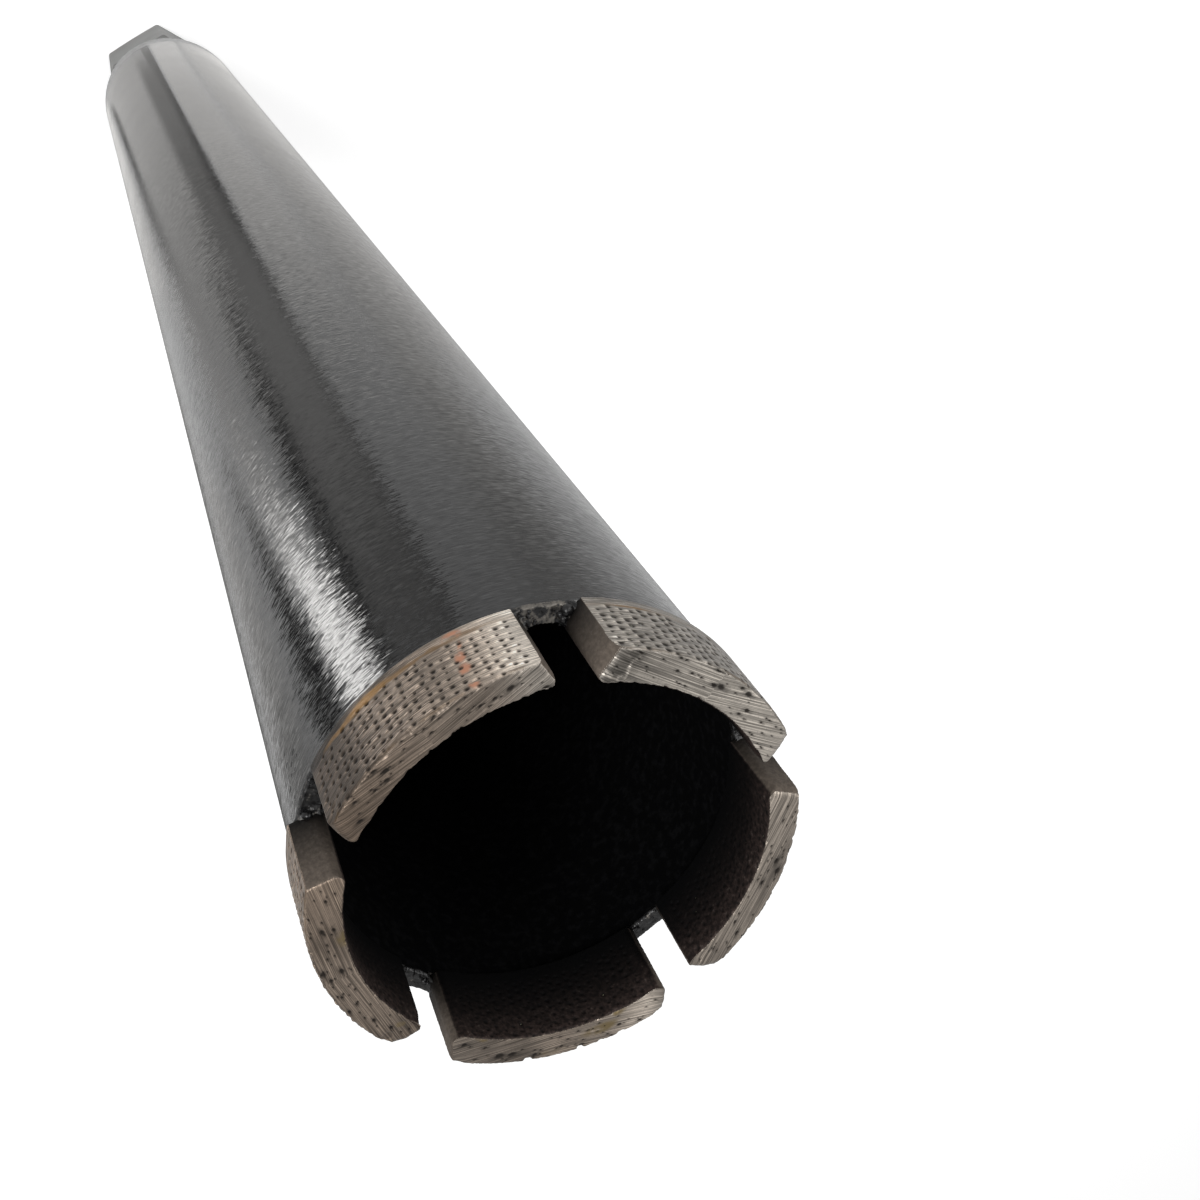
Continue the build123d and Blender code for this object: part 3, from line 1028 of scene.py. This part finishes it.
def put_masks(w, settings, pit, smear, ridge, scuff_and_glint, chipped):
    """Writes where each finish lies as attributes of the mesh."""
    foot = settings.foot_height / MM
    wobble = value_noise(w.arc / 1.1 + 11, w.up / 0.6, w.seed + 12) - 0.5
    level = w.up + wobble * 0.5
    below = w.outer * (1 - step(level, foot - 0.2, foot + 0.1))
    # Painted highlight and shade: the lightness rows brighten and darken the colour along each
    # segment.
    tone = along_rows(w.wear["sides"], w.arc)
    tone *= 1 + below * (along_rows(w.wear["foot_light_and_shade"], w.arc) - 1)
    tone += w.front * (along_rows(w.wear["cut"], w.chord) - tone)
    # Smears darken the colour; ridges behind the pits are brightened as a painted highlight.
    tone *= (1 - 0.45 * smear) * (1 + ridge)
    # A painted highlight rings each chip's rim; the chip's middle is a little darker.
    tone *= 1 - 0.2 * chipped + 1.2 * chipped * (1 - chipped)
    warm = along_rows(w.wear["warm"], w.arc)
    heat = step(level, foot - 0.4, foot) * (1 - step(level, foot + 0.15, foot + 0.5))
    heat *= step(value_noise(w.arc / 3.0 + 2, w.up * 0, w.seed + 14), 0.15, 0.45) * w.outer
    heat *= np.clip(warm + 0.1, 0, 1)
    heat = np.maximum(heat, w.outer * 0.25 * step(w.up, SEGMENT_TALL - 0.5, SEGMENT_TALL - 0.1)
                      * step(value_noise(w.arc / 1.5, w.up * 0, w.seed + 15), 0.4, 0.7))
    # The stains also hold the painted orange reflection.
    spots = {"orange_reflection": np.zeros_like(tone), "ochre": np.zeros_like(tone), "golden": heat}
    for kind, along, other, wide, tall, face in w.wear["stains"]:
        if face == "out":
            mark = blob(w.arc - along, w.up - other, wide, tall) * w.outer
        else:
            mark = blob(w.chord - along, w.reach - other, wide, tall) * w.front
        spots[kind] = np.maximum(spots[kind], mark)
    inner_soot = w.inner * np.interp(level, (1.0, 4.0, 6.0, 9.3), (1.0, 0.9, 0.75, 0.1))
    end_soot = w.end * np.interp(level, (0.3, 2.5, 5.0, 8.0), (0.95, 0.7, 0.4, 0.0))
    # Faces that look down turn black as well: painted shade under the segment.
    soot = np.maximum(np.maximum(inner_soot, end_soot), step(-w.normal[:, 2], 0.3, 0.8))
    masks = {"pit": np.clip(pit * 1.2, 0, 1), "core_side": w.inner, "tone": tone, "warm": warm,
             "scuff_and_glint": scuff_and_glint * w.outer + 0.5 * w.front, "soot": soot, **spots}
    for name, values in masks.items():
        put_attribute(w.mesh, name, values)


def put_grain(w):
    """A map in millimetres whose first axis follows the grinding marks; the faces left dark
    take the second material."""
    first, second = (math.radians(a) for a in w.wear["slants"])
    slant = np.where(w.chord > 0, first, second)
    on_front = w.front > 0.5
    along = np.where(w.outer + w.inner > 0.5, w.arc, w.across)
    across = w.up.copy()
    along = np.where(on_front, 0.3 * (w.chord * np.cos(slant) + w.across * np.sin(slant)), along)
    across = np.where(on_front, w.across * np.cos(slant) - w.chord * np.sin(slant) + 40, across)
    corner = np.empty(len(w.mesh.loops), np.int32)
    w.mesh.loops.foreach_get("vertex_index", corner)
    pairs = np.stack([along[corner] + 50 * w.number, across[corner]], 1)
    dark = w.inner + w.end > w.outer + w.front
    starts = np.empty(len(w.mesh.polygons), np.int32)
    w.mesh.polygons.foreach_get("loop_start", starts)
    w.mesh.polygons.foreach_set("material_index", dark[corner[starts]].astype(np.int32))
    layer = w.mesh.uv_layers.new(name="grain")
    layer.uv.foreach_set("vector", pairs.astype(np.float32).ravel())


# ======================================================================
# Scattering with Geometry Nodes
# ======================================================================

def scatter_tree(name, kind, material):
    """Instances of one small shape on every point, turned at random and scaled by 'size'."""
    tree = bpy.data.node_groups.new(name, "GeometryNodeTree")
    for title, way, socket in (("Geometry", "INPUT", "Geometry"), ("Size", "INPUT", "Float"),
                               ("Seed", "INPUT", "Int"), ("Geometry", "OUTPUT", "Geometry")):
        tree.interface.new_socket(name=title, in_out=way, socket_type="NodeSocket" + socket)
    g = Graph(tree)
    given = g.node("NodeGroupInput").outputs
    if kind == "grain":
        shape = g.node("GeometryNodeMeshIcoSphere", {"Radius": 0.5, "Subdivisions": 1}).outputs[0]
    else:
        shape = g.node("GeometryNodeMeshUVSphere",
                       {"Segments": 10, "Rings": 6, "Radius": 0.5}).outputs[0]
        shape = g.node("GeometryNodeSetShadeSmooth", {"Geometry": shape}).outputs[0]
    size = g.node("GeometryNodeInputNamedAttribute", {"Name": "size"}).outputs["Attribute"]
    scale = g.times(size, given["Size"])
    turn, squash = (
        g.node("FunctionNodeRandomValue", {"Min": (low,) * 3, "Max": (high,) * 3,
                                           "Seed": given["Seed"]},
               data_type="FLOAT_VECTOR").outputs[0]
        for low, high in ((0.0, 6.28), (0.75, 1.1)))
    points = g.node("GeometryNodeMeshToPoints", {"Mesh": given["Geometry"]}).outputs[0]
    placed = g.node("GeometryNodeInstanceOnPoints", {
        "Points": points, "Instance": shape, "Scale": g.scaled(squash, scale),
        "Rotation": g.node("FunctionNodeEulerToRotation", {0: turn}).outputs[0]})
    plain = g.node("GeometryNodeRealizeInstances", {"Geometry": placed.outputs[0]})
    coloured = g.node("GeometryNodeSetMaterial",
                      {"Geometry": plain.outputs[0], "Material": material})
    g.node("NodeGroupOutput", {"Geometry": coloured.outputs[0]})
    return tree


def scattered(name, kind, points, sizes, size, seed, material):
    """One plain mesh of small shapes at points, in millimetres."""
    mesh = raw_mesh(name, points, [])
    put_attribute(mesh, "size", sizes)
    obj = add_object(name + "_points", mesh)
    scatter = obj.modifiers.new("scatter", "NODES")
    scatter.node_group = scatter_tree(name, kind, material)
    sockets = {item.name: item.identifier for item in scatter.node_group.interface.items_tree
               if item.in_out == "INPUT"}
    scatter[sockets["Size"]] = float(size)
    scatter[sockets["Seed"]] = int(seed)
    made = settled_mesh(obj)
    made.name = name
    return made


def side_point(number, arc, up, radius):
    """A place on a segment's curved side, in millimetres."""
    return polar(radius, SEATS[number].turn + arc / CUT_R, FOOT_Z + up)


def skin_radius(skin, place):
    """Radius of a segment's finished surface next to a place, in millimetres."""
    near = skin[np.argmin(((skin - np.array(place)) ** 2).sum(1))]
    return math.hypot(near[0], near[1])


def grit_points(number, rows, mesh, settings):
    """Where grains stand in a segment's pits, and how large each is."""
    places, sizes = [], []
    skin = read_vectors(mesh.vertices, "co") / MM
    highest, widest = SEGMENT_TALL - GRIT_INSET, HALF_ARC - GRIT_INSET
    for index, (arc, up, size) in enumerate(rows):
        chance = float(lattice(index, number, settings.seed))
        if chance > settings.share or up > highest or abs(arc) > widest:
            continue
        sunk = 0.15 + 0.1 * float(lattice(index, number, settings.seed + 1))
        outer = skin_radius(skin, side_point(number, arc, up, SEATS[number].outer_r(up)))
        places.append(side_point(number, arc, up, outer - sunk))
        sizes.append(size / GRIT_BED_OUT)
        if chance < settings.share * 0.5:
            inner = skin_radius(skin, side_point(number, arc, up, CORE_R))
            places.append(side_point(number, arc, up, inner + sunk - 0.03))
            sizes.append(size / GRIT_BED_IN)
    return places, sizes


# ======================================================================
# Solder between the segments
# ======================================================================

def slot_angle(index):
    """Middle of the water slot that follows a segment clockwise, in radians."""
    before, after = SEATS[index].turn, SEATS[(index + 1) % len(SEATS)].turn
    return before - ((before - after) % math.tau) / 2


def slot_half(radius):
    """Half the angle between two segments' end faces at a radius."""
    return math.radians(SEAT_STEP / 2) - math.asin(SEGMENT_CHORD / 2 / radius)


def slot_point(index, side, radius, lift):
    """A place over the rim in a water slot; side runs from -1 to 1 across the slot."""
    return polar(radius, slot_angle(index) + side * slot_half(radius), RIM_Z + lift)


BARE_SLOT = 0           # the slot whose solder shows bare metal

# The film of solder in a water slot, in millimetres.
FILM_CLIMB = 0.75       # how far it climbs the segments' end faces
FILM_HOLLOW = 0.45      # how soon it falls away from them
FILM_SINK = 0.42        # how far it sinks at the rim's two edges
FILM_JAG = 0.12         # how ragged those edges are
FILM_LAP = 0.4          # how far it reaches under the segments' ends
BED_INSET = 0.3         # how far inside the wall its hidden underside stays
BED_DEPTH = 0.6         # how deep in the rim that underside lies


def film_mesh(index, settings):
    """Lumpy solder and paint that ran over the rim in one water slot."""
    seed = settings.seed + 13 * index
    across, along = 26, 44
    top, bottom = [], []
    for i in range(across + 1):
        v = i / across
        radius = BORE_R - 0.10 + v * (BARREL_R - BORE_R + 0.18)
        for j in range(along + 1):
            u = j / along * 2 - 1
            half = slot_half(radius) + FILM_LAP / radius
            angle = slot_angle(index) + u * half
            gap = (1 - abs(u)) * half * radius
            wave = float(value_noise(np.array(u * 5 + 30), np.array(v * 3.0), seed))
            lump = float(value_noise(np.array(u * 13 + 60), np.array(v * 7.0), seed + 1))
            fine = float(value_noise(np.array(u * 30 + 90), np.array(v * 15.0), seed + 2))
            height = settings.film / MM * (0.10 + 0.9 * wave * lump + 0.25 * fine)
            height += FILM_CLIMB * math.exp(-gap / FILM_HOLLOW) * (0.5 + wave)
            edge = min(v, 1 - v)
            height -= FILM_SINK * (1 - float(step(edge, 0.0, 0.10)))
            jag = (lump - 0.5) * FILM_JAG * (1 - float(step(edge, 0.0, 0.2)))
            r = radius + (jag if v > 0.5 else -jag)
            top.append(polar(r, angle, RIM_Z + height))
            r = BORE_R + BED_INSET + v * (BARREL_R - BORE_R - 2 * BED_INSET)
            bottom.append(polar(r, angle, RIM_Z - BED_DEPTH))
    count, row = len(top), along + 1
    faces = []
    for i in range(across):
        for j in range(along):
            a, b = i * row + j, i * row + j + 1
            c, d = b + row, a + row
            faces += [(a, b, c, d), (count + d, count + c, count + b, count + a)]
    edge_loop = [*range(row)] + [i * row + along for i in range(1, across + 1)]
    edge_loop += [across * row + j for j in range(along - 1, -1, -1)]
    edge_loop += [i * row for i in range(across - 1, 0, -1)]
    for a, b in zip(edge_loop, edge_loop[1:] + edge_loop[:1]):
        faces.append((b, a, count + a, count + b))
    film = mesh_of(f"rim_solder_{index + 1}", top + bottom, faces)
    put_attribute(film, "bare", np.full(len(film.vertices), float(index == BARE_SLOT)))
    return film


# Larger drops: slot, share across the slot from -1 to 1, radius from the axis, height above
# the rim and diameter.
DROPS = (
    (0, -0.86, 24.9, 0.35, 1.5), (0, -0.72, 24.4, 0.2, 1.0), (0, -0.93, 24.0, 0.4, 1.1),
    (0, 0.62, 24.6, 0.1, 0.7), (1, 0.75, 24.3, 0.2, 0.9), (2, -0.7, 24.0, 0.2, 0.8),
    (3, 0.8, 24.2, 0.2, 0.9), (4, 0.86, 24.8, 0.3, 1.3), (4, -0.6, 24.0, 0.15, 0.8),
)


def bead_points(settings):
    """Spatter in the water slots: places and sizes as shares of the largest bead."""
    places, sizes = [], []
    for index in range(len(SEGMENTS)):
        pick = lattice(np.arange(4 * settings.beads), np.full(4 * settings.beads, index),
                       settings.seed + 40)
        for k in range(settings.beads):
            a, b, c, d = pick[4 * k:4 * k + 4]
            radius = BORE_R + 0.1 + b * (BARREL_R - BORE_R - 0.2)
            side = math.copysign(abs(a * 2 - 1) ** 0.5, a * 2 - 1)
            lift = 0.12 + 0.5 * c * max(0.0, abs(side) - 0.75) * 4
            places.append(slot_point(index, side, radius, lift))
            sizes.append(0.35 + 0.65 * d * d)
    for slot, side, radius, lift, diameter in DROPS:
        places.append(slot_point(slot, side, radius, lift))
        sizes.append(diameter / (settings.bead_size / MM))
    return places, sizes


# ======================================================================
# Stage
# ======================================================================

def area_lamp(name, place, target, size, power):
    """A square lamp that faces its target."""
    data = bpy.data.lights.new(name, "AREA")
    data.shape = "SQUARE"
    data.size = size
    data.energy = power
    lamp = add_object(name, data)
    lamp.location = place
    lamp.rotation_euler = (Vector(target) - Vector(place)).to_track_quat("-Z", "Y").to_euler()
    lamp.visible_camera = False


def even_sky(strength):
    """Even light from all round; the camera sees plain white."""
    world = bpy.data.worlds.new("studio")
    bpy.context.scene.world = world
    g = cleared(world)
    path = g.node("ShaderNodeLightPath").outputs
    lit, seen = (g.node("ShaderNodeBackground", {"Color": (1, 1, 1, 1), "Strength": power})
                 for power in (strength, 1))
    both = g.node("ShaderNodeMixShader", {
        0: path["Is Camera Ray"], 1: lit.outputs[0], 2: seen.outputs[0]})
    g.node("ShaderNodeOutputWorld", {"Surface": both.outputs[0]})


def floor_material(settings):
    """Pale floor that lifts to white where nothing shades it."""
    made, g, surface = new_material("floor")
    surface("Base Color", settings.floor_colour)
    surface("Roughness", 0.9)
    path = g.node("ShaderNodeLightPath").outputs
    surface("Emission Strength", g.times(path["Is Camera Ray"], 0.45))
    surface("Emission Color", (1, 1, 1))
    return made


# Cards on the floor that only gloss sees. Each row: millimetres below the mouth, the two
# angles on the barrel between which the card is mirrored there, and the card's brightness.
CARDS = {
    "pale_card": [(100, 4, 27.4, 0.74), (150, 4, 27.4, 0.9), (200, 4, 27.4, 0.88),
                  (260, 4, 27.4, 0.91), (330, 4, 27.4, 0.88), (400, 4, 27.4, 1.0),
                  (470, 4, 27.4, 1.25)],
    "right_card": [(90, -38, 6, 0.62), (150, -38, 6, 0.70), (200, -38, 5, 0.69),
                   (260, -38, 5, 0.78), (330, -38, 5, 0.80), (400, -38, 5, 0.88),
                   (470, -38, 5, 1.15)],
    "dim_card": [(2, -12, 19, 0.46), (20, -15, 17, 0.54), (45, -17, 15, 0.66),
                 (80, -17, 13, 0.70), (115, -16, 11, 0.75)],
    "right_edge": [(2, -43.2, -36.5, 0.30), (110, -43.2, -36.5, 0.30), (200, -43.2, -36, 0.36),
                   (260, -43.2, -35, 0.42), (330, -43.2, -37, 0.66), (470, -43.2, -38, 0.8)],
    "left_edge": [(2, 93, 105.2, 0.13), (60, 92, 105.2, 0.13), (110, 91, 105.2, 0.15),
                  (200, 93, 105.2, 0.34), (300, 96, 105.2, 0.6), (470, 98, 105.2, 0.66)],
    "side_card": [(190, 77, 97, 0.76), (260, 76, 98, 0.88), (330, 79, 99, 0.94),
                  (400, 83, 101, 1.0), (470, 86, 102, 0.95)],
    "shade_card": [(100, 50, 72, 0.6), (130, 46, 72, 0.64), (160, 42, 72, 0.62),
                   (200, 33, 72, 0.61), (260, 30, 72, 0.66), (330, 30, 76, 0.69),
                   (400, 29, 84, 0.71), (470, 29, 88, 0.71)],
    "grey_card": [(2, 27, 46, 0.38), (20, 27.5, 50, 0.44), (40, 28, 50, 0.54), (60, 28, 50, 0.58),
                  (90, 28, 50, 0.56), (120, 28, 49, 0.46), (150, 28, 45, 0.38),
                  (180, 28, 38, 0.32), (195, 28, 35, 0.28), (300, 28, 34, 0.25),
                  (470, 28, 34, 0.28)],
    "edge_flag": [(2, 26.0, 28.8, 0.30), (30, 27.0, 29.6, 0.30), (60, 27.6, 30.0, 0.26),
                  (100, 27.6, 30.2, 0.28), (160, 27.5, 30.6, 0.2), (195, 27.5, 34.0, 0.1),
                  (260, 27.5, 34.2, 0.15), (330, 27.5, 34.5, 0.2), (400, 27.5, 34.5, 0.3),
                  (470, 27.8, 35.0, 0.45)],
    "curved_flag": [(15, 43.0, 47.5, 0.2), (26, 43.5, 49.0, 0.12), (45, 44.3, 51.0, 0.05),
                    (62, 43.6, 51.0, 0.03), (84, 42.6, 51.0, 0.1), (110, 41.0, 51.5, 0.2),
                    (140, 37.0, 50.0, 0.3), (170, 33.0, 47.0, 0.3), (200, 30.0, 45.0, 0.28),
                    (240, 28.5, 46.0, 0.32), (300, 28.0, 46.0, 0.36), (380, 28.0, 46.0, 0.36),
                    (450, 28.0, 44.0, 0.45)],
    "strip_lamp": [(2, 45.0, 56.0, 7.6), (12, 46.6, 56.8, 8.2), (20, 49.0, 58.1, 8.6),
                   (32, 51.6, 60.2, 4.8), (48, 53.8, 63.4, 1.9), (62, 55.6, 65.2, 0.95),
                   (76, 57.2, 66.5, 0.66), (92, 58.6, 67.0, 0.58)],
    "side_flag": [(2, 57.2, 70.0, 0.05), (12, 57.8, 70.5, 0.05), (20, 59.4, 69.0, 0.05),
                  (32, 61.2, 69.0, 0.08), (48, 64.8, 70.0, 0.22), (62, 66.4, 70.5, 0.40),
                  (84, 66.8, 72.0, 0.55)],
    "near_flag": [(2, 70.0, 93.0, 0.34), (14, 71.0, 93.0, 0.42), (24, 72.0, 93.0, 0.56),
                  (40, 74.0, 93.0, 0.66), (60, 76.0, 93.0, 0.66), (110, 78.0, 93.0, 0.72)],
    "far_flag": [(150, 62.0, 73.0, 0.56), (180, 63.0, 74.0, 0.38), (215, 65.0, 75.5, 0.24),
                 (260, 67.5, 77.0, 0.16), (310, 69.5, 78.5, 0.12), (357, 71.5, 80.5, 0.14),
                 (430, 76.0, 84.0, 0.22)],
}
CARD_COLOUR = (1, 0.985, 0.965)
CARD_LOWEST, CARD_APART = 0.5, 0.3      # millimetres above the floor, and between two cards
# Share of a card's width over which its first and its last edge fade out.
CARD_SOFT = {"pale_card": (0.2, 0.01), "right_card": (0.2, 0.1), "dim_card": (0.45, 0.45),
             "right_edge": (0.01, 0.7), "left_edge": (0.6, 0.01), "side_card": (0.25, 0.4),
             "shade_card": (0.12, 0.12), "grey_card": (0.02, 0.02), "edge_flag": (0.14, 0.14),
             "curved_flag": (0.32, 0.32), "strip_lamp": (0.10, 0.10), "side_flag": (0.25, 0.25),
             "near_flag": (0.3, 0.3), "far_flag": (0.45, 0.45)}


def mirrored_spot(eye, degrees, below):
    """Where on the floor the eye sees, by way of the barrel's wall at an angle and depth."""
    wall = Vector(polar(1.0, math.radians(degrees), 0.0))
    point = wall * BARREL_R + Vector((0, 0, TOP_Z - below))
    ray = (point - eye).normalized()
    ray -= 2 * ray.dot(wall) * wall
    return point - ray * (point.z / ray.z)


def card_mesh(name, rows, soft, eye, height):
    """A flat card between two mirrored edges, with its brightness and cover as attributes."""
    across, per = 16, 8
    depths, points, glow, cover = [], [], [], []
    for low, high in zip(rows, rows[1:]):
        depths += [tuple(a + (b - a) * k / per for a, b in zip(low, high)) for k in range(per)]
    depths.append(rows[-1])
    for number, (below, start, stop, light) in enumerate(depths):
        ends = 1 - float(step(number / (len(depths) - 1), 0.93, 1.0))
        for k in range(across + 1):
            t = k / across
            spot = mirrored_spot(eye, start + (stop - start) * t, below)
            points.append((spot.x, spot.y, height))
            glow.append(light)
            cover.append(float(step(t, -0.001, soft[0]) * step(1 - t, -0.001, soft[1])) * ends)
    row = across + 1
    faces = [(a, a + 1, a + 1 + row, a + row)
             for i in range(len(depths) - 1) for a in range(i * row, i * row + across)]
    mesh = raw_mesh(name, points, faces)
    put_attribute(mesh, "glow", glow)
    put_attribute(mesh, "cover", cover)
    return mesh


def card_material():
    """Shines as its mesh says where the mesh says it covers, and is clear elsewhere."""
    made = bpy.data.materials.new("card")
    g = cleared(made)
    light = g.node("ShaderNodeEmission", {"Color": CARD_COLOUR, "Strength": g.attribute("glow")})
    clear = g.node("ShaderNodeBsdfTransparent")
    both = g.node("ShaderNodeMixShader", {
        0: g.attribute("cover"), 1: clear.outputs[0], 2: light.outputs[0]})
    g.node("ShaderNodeOutputMaterial", {"Surface": both.outputs[0]})
    return made


def place_camera(settings):
    data = bpy.data.cameras.new("camera")
    data.lens = settings.lens
    data.sensor_width = 36.0
    data.clip_start = 0.005
    camera = add_object("camera", data)
    right = Vector((0.18885, -0.91751, 0.35))
    up = Vector((0.88112, 0.00096, -0.4729))
    turn = Matrix((right, up, right.cross(up))).transposed()
    eye = Vector(settings.eye_offset) + Vector((0, 0, TOP_Z * MM))
    camera.matrix_world = Matrix.Translation(eye) @ turn.to_4x4()
    bpy.context.scene.camera = camera
    return eye / MM


# ======================================================================
# Operators and panel
# ======================================================================

class COREBIT_OT_barrel(bpy.types.Operator):
    """Turn the barrel and paint it black"""
    bl_idname = "core_bit.barrel"
    bl_label = "Barrel"

    def execute(self, context):
        settings = context.scene.core_bit_barrel
        mesh = barrel_mesh(settings)
        mark_bore(mesh)
        seat_piece("barrel_tube", mesh, [black_paint(settings), bore_coat(settings)],
                   replaces="barrel")
        return {"FINISHED"}


class COREBIT_OT_hub(bpy.types.Operator):
    """Make the hexagon hub with its drive thread"""
    bl_idname = "core_bit.hub"
    bl_label = "Hub"

    def execute(self, context):
        settings = context.scene.core_bit_hub
        seat_piece("hub_body", hub_mesh(settings), [hub_paint(settings)],
                   replaces="hub")
        return {"FINISHED"}


class COREBIT_OT_segments(bpy.types.Operator):
    """Mesh the diamond segments finely, wear them and set grit in their pits"""
    bl_idname = "core_bit.segments"
    bl_label = "Segments and Grit"

    def execute(self, context):
        settings, grit = context.scene.core_bit_segments, context.scene.core_bit_grit
        finishes = [sintered_metal(settings), sooty_matrix(settings)]
        places, sizes = [], []
        for number, node in enumerate(SEGMENTS):
            mesh, rows = worn_segment(node, settings)
            seat_piece(node + "_worn", mesh, finishes, replaces=node)
            more, large = grit_points(number, rows, mesh, grit)
            places += more
            sizes += large
        grains = scattered("diamond_grit", "grain", places, sizes, grit.size, grit.seed,
                           diamond(grit))
        seat_piece("diamond_grit", grains, [])
        return {"FINISHED"}


class COREBIT_OT_solder(bpy.types.Operator):
    """Finish the solder seams and let solder run over the rim between segments"""
    bl_idname = "core_bit.solder"
    bl_label = "Solder"

    def execute(self, context):
        settings = context.scene.core_bit_solder
        metal = solder_metal(settings)
        for node in SOLDERS:
            dress(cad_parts[node], metal)
        for index in range(len(SEGMENTS)):
            seat_piece(f"rim_solder_{index + 1}", film_mesh(index, settings), [metal])
        places, sizes = bead_points(settings)
        beads = scattered("solder_beads", "bead", places, sizes, settings.bead_size,
                          settings.seed, metal)
        seat_piece("solder_beads", beads, [])
        return {"FINISHED"}


class COREBIT_OT_stage(bpy.types.Operator):
    """Lay the floor and its cards, hang the lamps and place the camera"""
    bl_idname = "core_bit.stage"
    bl_label = "Stage"

    def execute(self, context):
        settings = context.scene.core_bit_stage
        context.scene.view_settings.view_transform = "Standard"
        even_sky(settings.sky)
        eye = place_camera(settings)
        bpy.ops.mesh.primitive_plane_add(size=8.0, location=(0, 0, 0))
        floor = context.active_object
        floor.name = "floor"
        dress(floor, floor_material(settings))
        paint = card_material()
        for number, (name, rows) in enumerate(CARDS.items()):
            height = CARD_LOWEST + CARD_APART * number
            card = add_object(name, card_mesh(name, rows, CARD_SOFT[name], eye, height))
            dress(card, paint)
            card.visible_camera = card.visible_diffuse = card.visible_shadow = False
            card.visible_transmission = card.visible_volume_scatter = False
        mouth = Vector((0, 0, TOP_Z * MM))
        area_lamp("key", mouth + Vector((0.2, 1.0, 1.1)), mouth, 0.8, settings.key)
        area_lamp("fill", mouth + Vector((0.9, -0.9, 0.8)), mouth, 1.2, settings.fill)
        return {"FINISHED"}


class COREBIT_PT_panel(bpy.types.Panel):
    """Lists the steps that finish the core bit"""
    bl_idname = "COREBIT_PT_panel"
    bl_label = "Core Bit"
    bl_space_type = "VIEW_3D"
    bl_region_type = "UI"
    bl_category = "Core Bit"

    def draw(self, context):
        for owner, kind in SETTINGS.items():
            box = self.layout.box()
            box.label(text=kind.__doc__)
            for name in kind.__annotations__:
                box.prop(getattr(context.scene, owner), name)
        for operator in OPERATORS:
            self.layout.operator(operator.bl_idname)


OPERATORS = (COREBIT_OT_barrel, COREBIT_OT_hub, COREBIT_OT_segments, COREBIT_OT_solder,
             COREBIT_OT_stage)


def register():
    for kind in (*SETTINGS.values(), *OPERATORS, COREBIT_PT_panel):
        bpy.utils.register_class(kind)
    for owner, kind in SETTINGS.items():
        setattr(bpy.types.Scene, owner, PointerProperty(type=kind))


def unregister():
    for owner in SETTINGS:
        delattr(bpy.types.Scene, owner)
    for kind in (COREBIT_PT_panel, *reversed(OPERATORS), *reversed(list(SETTINGS.values()))):
        bpy.utils.unregister_class(kind)


def main():
    register()
    bpy.ops.core_bit.barrel()
    bpy.ops.core_bit.hub()
    bpy.ops.core_bit.segments()
    bpy.ops.core_bit.solder()
    bpy.ops.core_bit.stage()


if __name__ == "__main__":
    main()
